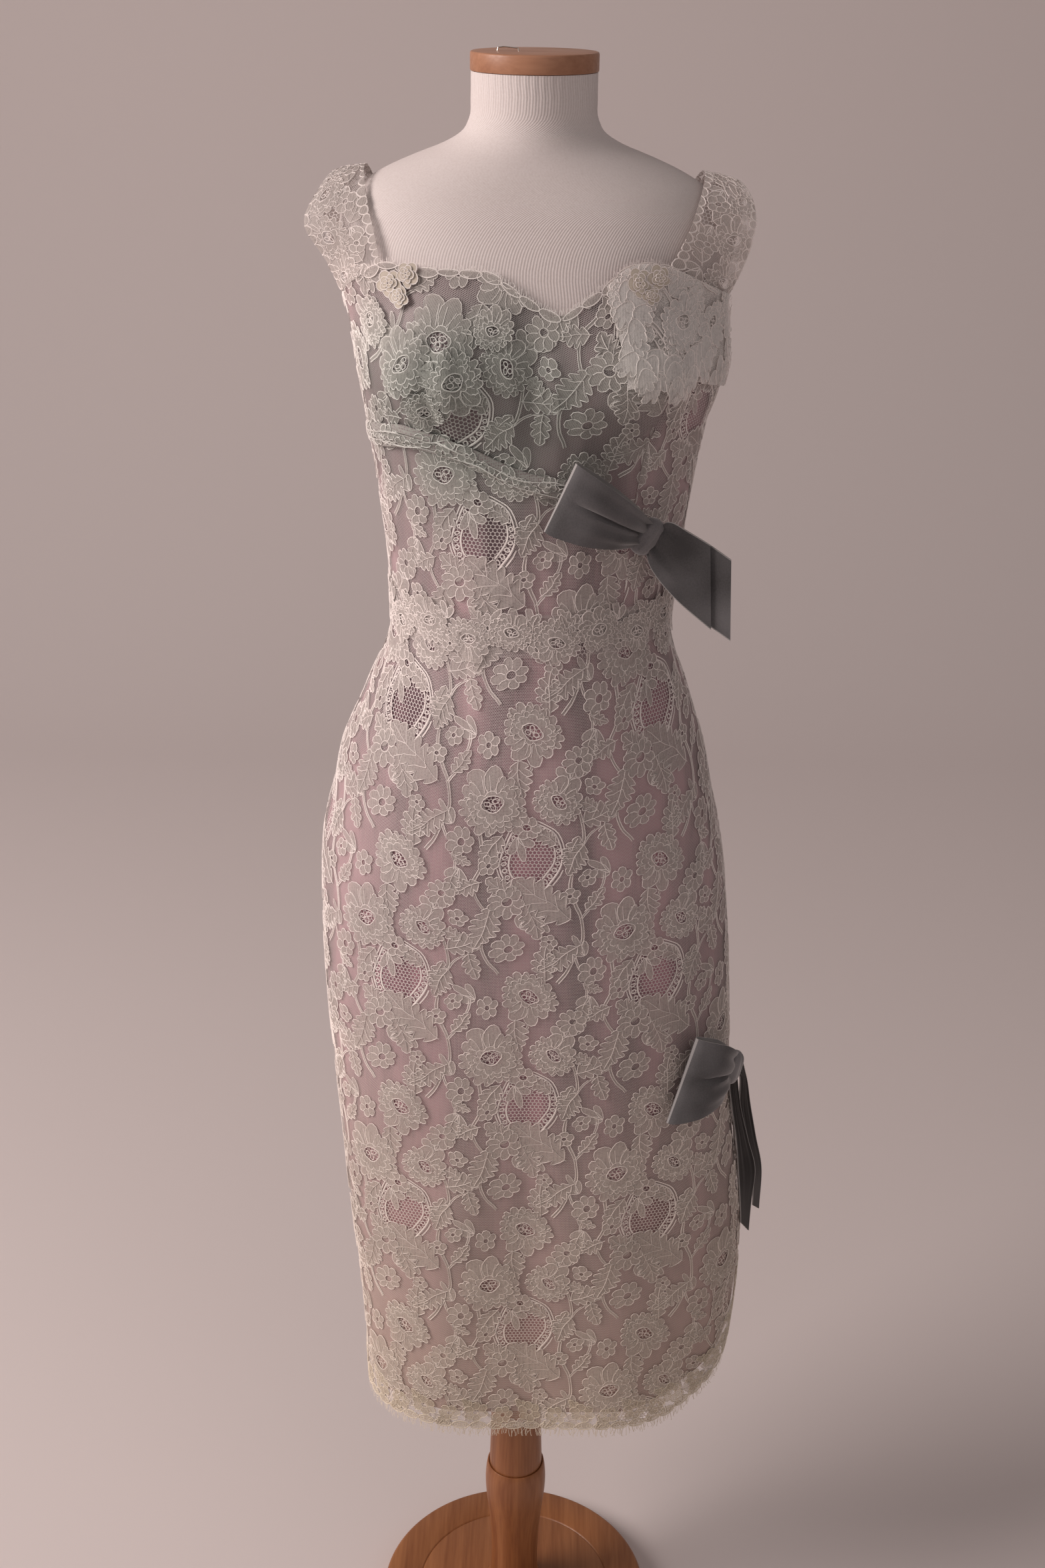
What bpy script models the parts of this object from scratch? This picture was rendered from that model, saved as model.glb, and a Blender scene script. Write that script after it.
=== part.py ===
# A wiggle dress of lace over satin, worn by a limbless dress form on a turned wooden stand.
# Metres, +Z up, front toward -Y, +X toward the wearer's left. The origin is on the floor, under the post.
# Angles around the body are degrees from straight ahead, positive toward the wearer's left.

import math

import bmesh
import bpy
import numpy as np

for old in list(bpy.data.objects):
    bpy.data.objects.remove(old, do_unlink=True)

MM = 0.001
SEAM = 0.30 * MM  # gap between two pieces that are sewn together
CLOTH = 1.0 * MM  # wall of every cloth panel
LINING_DEPTH = 1.6 * MM  # the lining's outer face, below the lace's outer face
FLOWER_CLOTH = 1.0 * MM  # lace laid on lace
LAID_GAP = 0.65 * MM  # between a panel and the lace laid on it

# Heights
FORM_BOTTOM = 0.770
NECK_TOP = 1.488
CAP_TOP = 1.5016
WAIST = 1.0845
SLIT_TOP = 0.660
HEM = 0.337
ZIP_TOP = 1.296

# Round parts
BASE_RADIUS = 0.133
BASE_HEIGHT = 0.025
GROOVE_RADIUS = 0.096
POST_RADIUS = 0.0245
POST_FOOT_RADIUS = 0.0258
POST_TOP = 0.8345
SOCKET_RIM = 0.190
SOCKET_FLOOR = 0.168
TENON_RADIUS = 0.015
TENON_BOTTOM = 0.100
RUNNING_GAP = 0.40 * MM
CAP_RADIUS = 0.0468

# Turned column, outer profile from the foot up
COLUMN_PROFILE = (
    # radius, height
    (0.0310, 0.0253),
    (0.0305, 0.0300),
    (0.0250, 0.0400),
    (0.0238, 0.0520),
    (0.0235, 0.0850),
    (0.0262, 0.1270),
    (0.0293, 0.1580),
    (0.0297, 0.1680),
    (0.0288, 0.1830),
    (0.0276, 0.1900),
)

# The jersey-covered form, from the bottom up
FORM_ROWS = (
    # height, half width, front depth, back depth, squareness
    (0.770, 0.1630, 0.1040, 0.1070, 2.3),
    (0.800, 0.1655, 0.1070, 0.1120, 2.3),
    (0.850, 0.1645, 0.1080, 0.1185, 2.3),
    (0.890, 0.1585, 0.1080, 0.1215, 2.2),
    (0.930, 0.1500, 0.1070, 0.1195, 2.2),
    (0.970, 0.1415, 0.1040, 0.1130, 2.1),
    (1.000, 0.1315, 0.1000, 0.1040, 2.0),
    (1.025, 0.1210, 0.0960, 0.0950, 2.0),
    (1.050, 0.1095, 0.0915, 0.0880, 2.0),
    (1.075, 0.1042, 0.0885, 0.0845, 2.0),
    (1.100, 0.1045, 0.0865, 0.0860, 2.0),
    (1.140, 0.1080, 0.0875, 0.0895, 2.0),
    (1.180, 0.1130, 0.0910, 0.0940, 2.0),
    (1.220, 0.1185, 0.0960, 0.0980, 2.1),
    (1.250, 0.1225, 0.1005, 0.1005, 2.1),
    (1.285, 0.1288, 0.1045, 0.1025, 2.1),
    (1.310, 0.1325, 0.1018, 0.1008, 2.1),
    (1.335, 0.1375, 0.0958, 0.0978, 2.1),
    (1.360, 0.1432, 0.0870, 0.0935, 2.2),
    (1.380, 0.1440, 0.0790, 0.0860, 2.3),
    (1.398, 0.1380, 0.0720, 0.0820, 2.3),
    (1.410, 0.1260, 0.0660, 0.0760, 2.3),
    (1.420, 0.1090, 0.0610, 0.0710, 2.2),
    (1.430, 0.0860, 0.0560, 0.0660, 2.1),
    (1.437, 0.0680, 0.0530, 0.0620, 2.0),
    (1.445, 0.0540, 0.0500, 0.0570, 2.0),
    (1.455, 0.0475, 0.0470, 0.0500, 2.0),
    (1.470, 0.0462, 0.0462, 0.0462, 2.0),
    (1.488, 0.0460, 0.0460, 0.0460, 2.0),
)

# Outer face of the dress, from below the hem up
DRESS_ROWS = (
    # height, half width right, half width left, front depth, back depth, squareness
    (0.300, 0.1400, 0.1930, 0.1180, 0.1150, 3.1),
    (0.335, 0.1405, 0.1950, 0.1180, 0.1150, 3.1),
    (0.400, 0.1427, 0.2000, 0.1180, 0.1150, 3.0),
    (0.450, 0.1465, 0.2030, 0.1175, 0.1150, 2.9),
    (0.500, 0.1516, 0.2030, 0.1170, 0.1150, 2.8),
    (0.550, 0.1560, 0.1990, 0.1160, 0.1150, 2.8),
    (0.600, 0.1600, 0.1920, 0.1150, 0.1150, 2.7),
    (0.650, 0.1640, 0.1870, 0.1140, 0.1150, 2.6),
    (0.700, 0.1680, 0.1830, 0.1135, 0.1155, 2.5),
    (0.750, 0.1710, 0.1800, 0.1130, 0.1170, 2.4),
    (0.800, 0.1720, 0.1760, 0.1130, 0.1200, 2.3),
    (0.840, 0.1720, 0.1720, 0.1130, 0.1235, 2.3),
    (0.870, 0.1707, 0.1680, 0.1130, 0.1262, 2.3),
    (0.900, 0.1670, 0.1625, 0.1130, 0.1270, 2.2),
    (0.930, 0.1590, 0.1550, 0.1125, 0.1255, 2.2),
    (0.970, 0.1500, 0.1465, 0.1100, 0.1190, 2.1),
    (1.000, 0.1367, 0.1368, 0.1060, 0.1100, 2.0),
    (1.030, 0.1240, 0.1270, 0.1010, 0.0985, 2.0),
    (1.050, 0.1145, 0.1190, 0.0970, 0.0935, 2.0),
    (1.070, 0.1095, 0.1150, 0.0940, 0.0900, 2.0),
    (1.090, 0.1090, 0.1155, 0.0925, 0.0905, 2.0),
    (1.120, 0.1110, 0.1190, 0.0920, 0.0930, 2.0),
    (1.150, 0.1140, 0.1230, 0.0935, 0.0960, 2.0),
    (1.180, 0.1180, 0.1270, 0.0960, 0.0990, 2.0),
    (1.220, 0.1235, 0.1330, 0.1010, 0.1030, 2.1),
    (1.240, 0.1265, 0.1370, 0.1040, 0.1050, 2.1),
    (1.260, 0.1295, 0.1435, 0.1070, 0.1062, 2.1),
    (1.285, 0.1338, 0.1490, 0.1095, 0.1078, 2.1),
    (1.300, 0.1360, 0.1495, 0.1085, 0.1070, 2.1),
    (1.320, 0.1405, 0.1475, 0.1050, 0.1050, 2.1),
    (1.335, 0.1440, 0.1490, 0.1008, 0.1028, 2.1),
    (1.360, 0.1505, 0.1520, 0.0920, 0.0985, 2.2),
    (1.380, 0.1515, 0.1525, 0.0850, 0.0930, 2.2),
)

# The back panel hangs straight beside the slit while the front panel flares
BACK_LEFT_ROWS = (
    # height, half width left
    (0.300, 0.1690),
    (0.335, 0.1700),
    (0.400, 0.1750),
    (0.500, 0.1800),
    (0.600, 0.1840),
    (0.660, 0.1862),
)

CUP_ANGLE = 38.0
CUP_SPREAD = 24.0
CUP_HEIGHT = 1.285
CUP_RISE = 0.038
CUP_DEPTH = 0.022

# Columns of the dress around the body
FRONT_COLUMNS = (-90, -82, -74, -66, -58, -48, -38, -28, -18, -6, 4, 12, 21, 30, 38, 46, 53, 62, 72, 82, 90)
BACK_COLUMNS = (90, 98, 108, 118, 130, 145, 158, 170, 180)
SKIRT_SHARES = (0, 0.053, 0.102, 0.160, 0.213, 0.280, 0.380, 0.487, 0.595, 0.720, 0.860, 1)  # waist to hem
SKIRT_ROWS = len(SKIRT_SHARES) - 1
ZIP_BOTTOM = WAIST - SKIRT_SHARES[4] * (WAIST - HEM)
MIDRIFF_ROWS = 4
BUST_ROWS = 7

# Edges of the dress, height by angle
HEM_FRONT = (
    # angle, height
    (-90, HEM),
    (46, HEM),
    (53, 0.342),
    (62, 0.362),
    (72, 0.384),
    (82, 0.415),
    (90, 0.470),
)
HEM_BACK_LEFT = (
    (90, 0.470),
    (98, 0.415),
    (108, 0.384),
    (118, 0.362),
    (130, 0.342),
    (145, HEM),
    (180, HEM),
)
NECK_FRONT = (
    (-90, 1.325),
    (-82, 1.333),
    (-74, 1.341),
    (-66, 1.350),
    (-58, 1.361),
    (-48, 1.360),
    (-38, 1.360),
    (-28, 1.360),
    (-18, 1.3585),
    (-6, 1.347),
    (4, 1.337),
    (12, 1.332),
    (21, 1.341),
    (30, 1.351),
    (38, 1.362),
    (46, 1.365),
    (53, 1.362),
    (62, 1.352),
    (72, 1.342),
    (82, 1.333),
    (90, 1.325),
)
NECK_BACK = (
    (90, 1.325),
    (98, 1.333),
    (108, 1.342),
    (118, 1.350),
    (130, 1.352),
    (145, 1.332),
    (158, 1.314),
    (170, 1.303),
    (180, 1.300),
)
DRAPE_SEAM = (
    (-90, 1.226),
    (-58, 1.236),
    (-48, 1.240),
    (-28, 1.232),
    (-6, 1.214),
    (4, 1.208),
    (12, 1.205),
    (30, 1.195),
    (46, 1.180),
    (53, 1.178),
    (90, 1.176),
    (180, 1.176),
)
DRAPE_END = 46  # the draped bust panel stops at a gathered seam here

LINING_HEM_RISE = 0.028
LINING_SLIT_INSET = 0.45  # of a column
FRINGE_REACH = 0.011
WAIST_BAND_BELOW = 0.0135
WAIST_BAND_ABOVE = 0.0205
FOLD_HALF_WIDTH = 0.010
FOLD_HEIGHT = 0.0040
ZIP_HALF_GAP = 0.0035
ZIP_HALF_WIDTH = 0.0032
ZIP_THICKNESS = 0.0016

# Shoulder straps between the bodice's front and back tops: inner and outer edge, front to back
STRAP_RIGHT = (
    # inner x, y, z, outer x, y, z
    (-0.1125, -0.0615, 1.3800, -0.1520, -0.0290, 1.3580),
    (-0.1190, -0.0440, 1.4020, -0.1670, -0.0270, 1.3830),
    (-0.1235, -0.0140, 1.4190, -0.1560, -0.0130, 1.4060),
    (-0.1235, 0.0180, 1.4190, -0.1480, 0.0080, 1.4150),
    (-0.1195, 0.0500, 1.4030, -0.1600, 0.0290, 1.3960),
    (-0.1130, 0.0690, 1.3800, -0.1560, 0.0360, 1.3680),
)
STRAP_LEFT = (
    (0.1100, -0.0640, 1.3820, 0.1560, -0.0290, 1.3580),
    (0.1190, -0.0465, 1.4020, 0.1630, -0.0280, 1.3840),
    (0.1255, -0.0140, 1.4165, 0.1610, -0.0130, 1.4020),
    (0.1255, 0.0180, 1.4170, 0.1540, 0.0080, 1.4110),
    (0.1200, 0.0500, 1.4020, 0.1590, 0.0290, 1.3930),
    (0.1130, 0.0690, 1.3800, 0.1560, 0.0360, 1.3680),
)
STRAP_STEPS = 14

# Velvet ribbon bows
RIBBON_WIDTH = 0.054
RIBBON = 1.2 * MM
KNOT_HALF = (0.0088, 0.0160, 0.0068)  # along the ribbon, across it, out from the body
BOW_LOOP_ROWS = (
    # share of the length, out from the middle, share of the half width
    (0.00, -0.0022, 0.42),
    (0.30, -0.0030, 0.70),
    (0.65, -0.0036, 0.94),
    (0.93, -0.0036, 1.00),
    (1.00, 0.0004, 1.00),
    (0.93, 0.0052, 1.00),
    (0.65, 0.0085, 0.96),
    (0.30, 0.0070, 0.73),
    (0.00, 0.0024, 0.42),
)
TOP_BOW = {
    "angle": 50.3,
    "height": 1.1650,
    "lift": 1.5 * MM,  # between the knot and the cloth
    "arch": 0.008,  # of the loop, over the curve of the body
    "upper": (17.6, 1.2350, 0.0180),  # end of the loop: angle, height, off the cloth
    "lower": (5.9, 1.1795, 0.0180),
}
SLIT_BOW = {
    "angle": 73.6,
    "height": 0.6825,
    "lift": 1.0 * MM,
    "arch": 0.011,
    "upper": (58.9, 0.7350, 0.0150),
    "lower": (50.0, 0.6625, 0.0150),
}

# Free tails: upper and lower edge from the knot outward
TOP_TAIL_FRONT = (
    # upper x, y, z, lower x, y, z
    (0.1070, -0.0825, 1.1770, 0.0945, -0.0840, 1.1380),
    (0.1210, -0.0830, 1.1692, 0.1130, -0.0830, 1.1160),
    (0.1379, -0.0770, 1.1573, 0.1413, -0.0770, 1.0903),
)
TOP_TAIL_BACK = (
    (0.1080, -0.0735, 1.1740, 0.0970, -0.0740, 1.1340),
    (0.1300, -0.0715, 1.1625, 0.1189, -0.0710, 1.1090),
    (0.1554, -0.0660, 1.1413, 0.1585, -0.0640, 1.0770),
)
SLIT_TAIL_FRONT = (
    (0.1895, -0.0290, 0.6600, 0.1815, -0.0460, 0.6655),
    (0.1950, -0.0240, 0.6230, 0.1868, -0.0430, 0.6330),
    (0.2045, -0.0200, 0.5863, 0.1932, -0.0410, 0.5975),
    (0.2148, -0.0160, 0.5511, 0.1972, -0.0410, 0.5576),
    (0.2138, -0.0180, 0.5173, 0.1990, -0.0410, 0.5316),
    (0.2125, -0.0200, 0.4845, 0.2000, -0.0410, 0.5096),
)
SLIT_TAIL_BACK = (
    (0.2000, 0.0000, 0.6380, 0.1955, -0.0230, 0.6520),
    (0.2082, 0.0080, 0.6041, 0.2015, -0.0160, 0.6141),
    (0.2164, 0.0120, 0.5690, 0.2090, -0.0130, 0.5779),
    (0.2256, 0.0140, 0.5301, 0.2158, -0.0110, 0.5373),
    (0.2256, 0.0140, 0.4844, 0.2148, -0.0110, 0.5063),
)

# Zip slider and its pull tab, at the centre back
SLIDER_HEIGHT = 1.2850
SLIDER_SIZE = (0.0080, 0.0020, 0.0100)
LUG_SIZE = (0.0012, 0.0026, 0.0036)
LUG_OFFSET = 0.0022
PULL_AXIS_OUT = 0.0014  # above the slider's plate
PULL_OUTLINE = (
    # across, up from the hinge axis, in millimetres
    (-1.3, 0.9),
    (1.3, 0.9),
    (1.3, -3.0),
    (3.0, -4.6),
    (3.0, -19.5),
    (1.8, -21.5),
    (-1.8, -21.5),
    (-3.0, -19.5),
    (-3.0, -4.6),
    (-1.3, -3.0),
)
PULL_THICKNESS = 0.0010


def material(name, color, roughness, metallic=0.0):
    made = bpy.data.materials.new(name)
    made.use_nodes = True
    shader = made.node_tree.nodes["Principled BSDF"]
    shader.inputs["Base Color"].default_value = (*color, 1.0)
    shader.inputs["Roughness"].default_value = roughness
    shader.inputs["Metallic"].default_value = metallic
    return made


LACE = material("lace", (0.62, 0.66, 0.60), 0.85)
SATIN = material("lining_satin", (0.55, 0.38, 0.44), 0.45)
VELVET = material("velvet_ribbon", (0.24, 0.28, 0.30), 0.8)
JERSEY = material("knit_jersey", (0.72, 0.68, 0.64), 0.9)
WOOD = material("clear_finished_wood", (0.50, 0.27, 0.13), 0.4)
CAP_WOOD = material("cap_wood", (0.55, 0.33, 0.22), 0.45)
ZIP_CLOTH = material("zip_tape", (0.60, 0.58, 0.55), 0.8)
METAL = material("plated_metal", (0.70, 0.68, 0.65), 0.3, 1.0)


def smooth(at, knots, values):
    # Cubic through the values, with slopes taken from the neighbours.
    knots, values = np.asarray(knots, float), np.asarray(values, float)
    slopes = np.gradient(values, knots)
    at = np.clip(at, knots[0], knots[-1])
    i = np.clip(np.searchsorted(knots, at, side="right") - 1, 0, len(knots) - 2)
    span = knots[i + 1] - knots[i]
    t = (at - knots[i]) / span
    stay = values[i] * (1 + 2 * t) * (1 - t) ** 2 + values[i + 1] * t * t * (3 - 2 * t)
    return stay + span * (slopes[i] * t * (1 - t) ** 2 - slopes[i + 1] * t * t * (1 - t))


def edge(table, angle):
    rows = np.array(table, float)
    return np.interp(angle, rows[:, 0], rows[:, 1])


def outline(angle, right, left, front, back, square):
    # A squared ellipse around the body, with its own reach toward each of the four sides.
    turn = np.radians(angle)
    side, ahead = np.sin(turn), np.cos(turn)
    width = np.where(side < 0, right, left)
    depth = np.where(ahead > 0, front, back)
    radius = (np.abs(side / width) ** square + np.abs(ahead / depth) ** square) ** (-1 / square)
    return radius * side, -radius * ahead


def cup(angle, height, depth):
    turn = (np.abs(angle) - CUP_ANGLE) / CUP_SPREAD
    rise = (height - CUP_HEIGHT) / CUP_RISE
    return depth * np.exp(-turn * turn - rise * rise)


def bulged(angle, height, x, y, depth):
    grow = cup(angle, height, depth) * np.where(np.abs(angle) < 90, 1.0, 0.0)
    away = np.hypot(x, y)
    return x + grow * x / away, y + grow * y / away


def form_point(angle, height):
    z, half, front, back, square = np.array(FORM_ROWS).T
    width = smooth(height, z, half)
    sizes = (smooth(height, z, front), smooth(height, z, back), smooth(height, z, square))
    x, y = outline(angle, width, width, *sizes)
    x, y = bulged(angle, height, x, y, CUP_DEPTH - 1.0 * MM)
    return np.stack([x, y, height + 0 * x], -1)


def dress_point(angle, height, rear=False):
    z, right, left, front, back, square = np.array(DRESS_ROWS).T
    reach_left = smooth(height, z, left)
    if rear:
        low, straight = np.array(BACK_LEFT_ROWS).T
        reach_left = np.where(height < SLIT_TOP, smooth(height, low, straight), reach_left)
    sizes = (smooth(height, z, front), smooth(height, z, back), smooth(height, z, square))
    x, y = outline(angle, smooth(height, z, right), reach_left, *sizes)
    x, y = bulged(angle, height, x, y, CUP_DEPTH)
    return np.stack([x, y, height + 0 * x], -1)


def unit(vector):
    return vector / np.linalg.norm(vector, axis=-1, keepdims=True)


def dress_normal(angle, height, rear=False):
    turn, rise = 0.5, 0.001
    around = dress_point(angle + turn, height, rear) - dress_point(angle - turn, height, rear)
    up = dress_point(angle, height + rise, rear) - dress_point(angle, height - rise, rear)
    return unit(np.cross(around, up))


def finish(name, mesh, surface, sharp=35):
    mesh.materials.append(surface)
    mesh.shade_smooth()
    mesh.set_sharp_from_angle(angle=math.radians(sharp))
    made = bpy.data.objects.new(name, mesh)
    bpy.context.scene.collection.objects.link(made)
    return made


def solid(name, points, faces, surface, sharp=35):
    mesh = bpy.data.meshes.new(name)
    mesh.from_pydata([tuple(map(float, p)) for p in points], [], faces)
    shape = bmesh.new()
    shape.from_mesh(mesh)
    bmesh.ops.recalc_face_normals(shape, faces=shape.faces)
    shape.to_mesh(mesh)
    shape.free()
    return finish(name, mesh, surface, sharp)


def stack(name, rings, surface, sharp=35):
    # Closed rings of equal count, joined one to the next, with a flat cap on the first and the last.
    count = len(rings[0])
    points = np.concatenate(rings)
    faces = [tuple(range(count)), tuple(reversed(range(len(points) - count, len(points))))]
    for level in range(len(rings) - 1):
        for k in range(count):
            a, b = level * count + k, level * count + (k + 1) % count
            faces.append((a, b, b + count, a + count))
    return solid(name, points, faces, surface, sharp)


def ring(radius, height, sides):
    turn = np.arange(sides) * 2 * math.pi / sides
    return np.stack([radius * np.sin(turn), -radius * np.cos(turn), height + 0 * turn], -1)


def turned(name, profile, sides, surface):
    return stack(name, [ring(r, z, sides) for r, z in profile], surface)


def wall(name, outer, inner, surface, sharp=50):
    # Two grids of points, one on each face of the cloth, closed around their edges.
    rows, columns = outer.shape[:2]
    points = np.concatenate([outer.reshape(-1, 3), inner.reshape(-1, 3)])
    half = rows * columns
    faces = []
    for r in range(rows - 1):
        for c in range(columns - 1):
            a = r * columns + c
            b, d, e = a + 1, a + columns, a + columns + 1
            faces += [(a, b, e), (a, e, d)]
            faces += [(a + half, e + half, b + half), (a + half, d + half, e + half)]
    border = [c for c in range(columns)]
    border += [r * columns + columns - 1 for r in range(1, rows)]
    border += [(rows - 1) * columns + c for c in range(columns - 2, -1, -1)]
    border += [r * columns for r in range(rows - 2, 0, -1)]
    for a, b in zip(border, border[1:] + border[:1]):
        faces.append((b, a, a + half, b + half))
    return solid(name, points, faces, surface, sharp)


def shell(name, middle, thickness, surface):
    # A grid thickened to both sides along its own normals.
    along = np.gradient(middle, axis=0)
    across = np.gradient(middle, axis=1)
    out = unit(np.cross(along, across)) * thickness / 2
    return wall(name, middle + out, middle - out, surface)


def pulled(grid):
    # Half a seam taken off every edge of a grid of points.
    grid = grid.copy()
    for first, second in ((0, 1), (-1, -2)):
        grid[first] += unit(grid[second] - grid[first]) * SEAM / 2
        grid[:, first] += unit(grid[:, second] - grid[:, first]) * SEAM / 2
    return grid


class Lattice:
    # The dress's outer face as one net of points: every layer takes its points from the same flat fields.
    def __init__(self, angles, heights, rear=False, mirror=False):
        angle = np.array(angles, float)[None, :] + 0 * heights
        side = -1.0 if mirror else 1.0
        self.points = dress_point(side * angle, heights, rear and not mirror)
        self.normals = dress_normal(side * angle, heights, rear and not mirror)
        self.side = side
        if angles[-1] == 180:
            self.points[:, -1, 0] = side * centre_gap(heights[:, -1])

    def at(self, row, column, depth):
        row, column = np.broadcast_arrays(np.asarray(row, float), np.asarray(column, float))
        r = np.clip(np.floor(row).astype(int), 0, self.points.shape[0] - 2)
        c = np.clip(np.floor(column).astype(int), 0, self.points.shape[1] - 2)
        s, t = (row - r)[..., None], (column - c)[..., None]
        face = self.points - depth * self.normals
        low = face[r, c] * (1 - t) + face[r, c + 1] * t
        high = face[r + 1, c] * (1 - t) + face[r + 1, c + 1] * t
        return low * (1 - s) + high * s

    def piece(self, name, row, column, depth, thickness, surface):
        outer = pulled(self.at(row, column, depth))
        inner = pulled(self.at(row, column, depth + thickness))
        return wall(name, outer, inner, surface)


def centre_gap(height):
    # Half the gap between the two back panels: the zip's above, a seam's below.
    return np.where(height > ZIP_BOTTOM - MM, ZIP_HALF_GAP, 0.0)


def skirt_heights(hem):
    share = np.array(SKIRT_SHARES)[:, None]
    heights = WAIST + (hem - WAIST) * share
    return np.concatenate([heights, (hem - FRINGE_REACH)[None, :]])


def bodice_heights(angles, neck):
    seam = edge(DRAPE_SEAM, np.abs(angles) if angles[0] == 90 else angles)
    low = np.arange(MIDRIFF_ROWS)[:, None] / MIDRIFF_ROWS
    high = np.arange(BUST_ROWS + 1)[:, None] / BUST_ROWS
    return np.concatenate([WAIST + (seam - WAIST) * low, seam + (neck - seam) * high])


def lattices():
    front = np.array(FRONT_COLUMNS, float)
    back = np.array(BACK_COLUMNS, float)
    made = {
        "skirt_front": Lattice(FRONT_COLUMNS, skirt_heights(edge(HEM_FRONT, front))),
        "skirt_back_left": Lattice(BACK_COLUMNS, skirt_heights(edge(HEM_BACK_LEFT, back)), rear=True),
        "skirt_back_right": Lattice(BACK_COLUMNS, skirt_heights(0 * back + HEM), mirror=True),
        "bodice_front": Lattice(FRONT_COLUMNS, bodice_heights(front, edge(NECK_FRONT, front))),
        "bodice_back_left": Lattice(BACK_COLUMNS, bodice_heights(back, edge(NECK_BACK, back))),
        "bodice_back_right": Lattice(BACK_COLUMNS, bodice_heights(back, edge(NECK_BACK, back)), mirror=True),
    }
    return made


def grid(rows, columns):
    return np.asarray(rows, float)[:, None], np.asarray(columns, float)[None, :]


def make_lining(nets):
    rows = np.arange(SKIRT_ROWS + 1, dtype=float)[:, None]
    for part, slit in (("front", "end"), ("back_left", "start"), ("back_right", None)):
        net = nets["skirt_" + part]
        count = net.points.shape[1]
        drop = net.points[SKIRT_ROWS - 1, :, 2] - net.points[SKIRT_ROWS, :, 2]
        shared = rows * np.ones(count)
        shared[-1] = SKIRT_ROWS - LINING_HEM_RISE / drop
        column = np.arange(count) + 0 * rows
        if slit == "end":
            low = net.points[: SKIRT_ROWS + 1, -1, 2] < SLIT_TOP
            column[low, -1] -= LINING_SLIT_INSET
        if slit == "start":
            low = net.points[: SKIRT_ROWS + 1, 0, 2] < SLIT_TOP
            column[low, 0] += LINING_SLIT_INSET
        net.piece("skirt_lining_" + part, shared, column, LINING_DEPTH, CLOTH, SATIN)
        net = nets["bodice_" + part]
        row, column = grid(range(MIDRIFF_ROWS + BUST_ROWS + 1), range(count))
        net.piece("bodice_lining_" + part, row, column, LINING_DEPTH, CLOTH, SATIN)


def make_lace(nets):
    seam = FRONT_COLUMNS.index(DRAPE_END)
    last = len(FRONT_COLUMNS) - 1
    top = MIDRIFF_ROWS + BUST_ROWS
    front = nets["bodice_front"]
    front.piece("midriff_panel", *grid(range(MIDRIFF_ROWS + 1), range(seam + 1)), 0, CLOTH, LACE)
    front.piece("bust_panel", *grid(range(MIDRIFF_ROWS, top + 1), range(seam + 1)), 0, CLOTH, LACE)
    front.piece("bodice_side_left", *grid(range(top + 1), range(seam, last + 1)), 0, CLOTH, LACE)
    for side in ("left", "right"):
        net = nets["bodice_back_" + side]
        net.piece("bodice_back_" + side, *grid(range(top + 1), range(len(BACK_COLUMNS))), 0, CLOTH, LACE)
    for part in ("front", "back_left", "back_right"):
        net = nets["skirt_" + part]
        columns = range(net.points.shape[1])
        net.piece("skirt_" + part, *grid(range(SKIRT_ROWS + 1), columns), 0, CLOTH, LACE)
        net.piece("hem_fringe_" + part, *grid((SKIRT_ROWS, SKIRT_ROWS + 1), columns), 0, CLOTH, LACE)


def make_waist_band(nets):
    # A row of lace flowers over the waist seam: its points are the two panels' points moved out.
    for part in ("front", "back_left", "back_right"):
        skirt, bodice = nets["skirt_" + part], nets["bodice_" + part]
        columns = np.arange(skirt.points.shape[1])
        down = skirt.points[0, :, 2] - skirt.points[1, :, 2]
        up = bodice.points[1, :, 2] - bodice.points[0, :, 2]

        def face(depth):
            lines = (
                skirt.at(WAIST_BAND_BELOW / down, columns, depth),
                skirt.at(0 * down, columns, depth),
                bodice.at(WAIST_BAND_ABOVE / up, columns, depth),
            )
            return pulled(np.stack(lines))

        wall("waist_band_" + part, face(-LAID_GAP - FLOWER_CLOTH), face(-LAID_GAP), LACE)


def make_overlays(nets):
    net = nets["bodice_front"]
    seam = FRONT_COLUMNS.index(DRAPE_END)
    columns = np.arange(seam + 1)
    columns = np.concatenate([[0.25], columns[1:]])
    below = (net.points[MIDRIFF_ROWS, :, 2] - net.points[MIDRIFF_ROWS - 1, :, 2])[: seam + 1]
    above = (net.points[MIDRIFF_ROWS + 1, :, 2] - net.points[MIDRIFF_ROWS, :, 2])[: seam + 1]
    places = (-1.0, -0.5, 0.0, 0.5, 1.0)
    rises = (0.25, 0.85, 1.0, 0.85, 0.25)
    outer, inner = [], []
    for place, rise in zip(places, rises):
        step = above if place > 0 else below
        row = MIDRIFF_ROWS + place * FOLD_HALF_WIDTH / step
        outer.append(net.at(row, columns, -LAID_GAP - FOLD_HEIGHT * rise))
        inner.append(net.at(row, columns, -LAID_GAP))
    wall("bust_drape_fold", pulled(np.stack(outer)), pulled(np.stack(inner)), LACE)
    first = FRONT_COLUMNS.index(30)
    last = FRONT_COLUMNS.index(82)
    top = MIDRIFF_ROWS + BUST_ROWS
    row = np.arange(top - 3, top + 1)[:, None]
    column = np.arange(first, last + 1)[None, :]
    net.piece("cup_overlay_left", row, column, -LAID_GAP - FLOWER_CLOTH, FLOWER_CLOTH, LACE)


def through(points, steps):
    points = np.array(points, float)
    knots = np.arange(len(points))
    at = np.linspace(0, len(points) - 1, steps)
    return np.stack([smooth(at, knots, points[:, k]) for k in range(points.shape[1])], -1)


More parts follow.
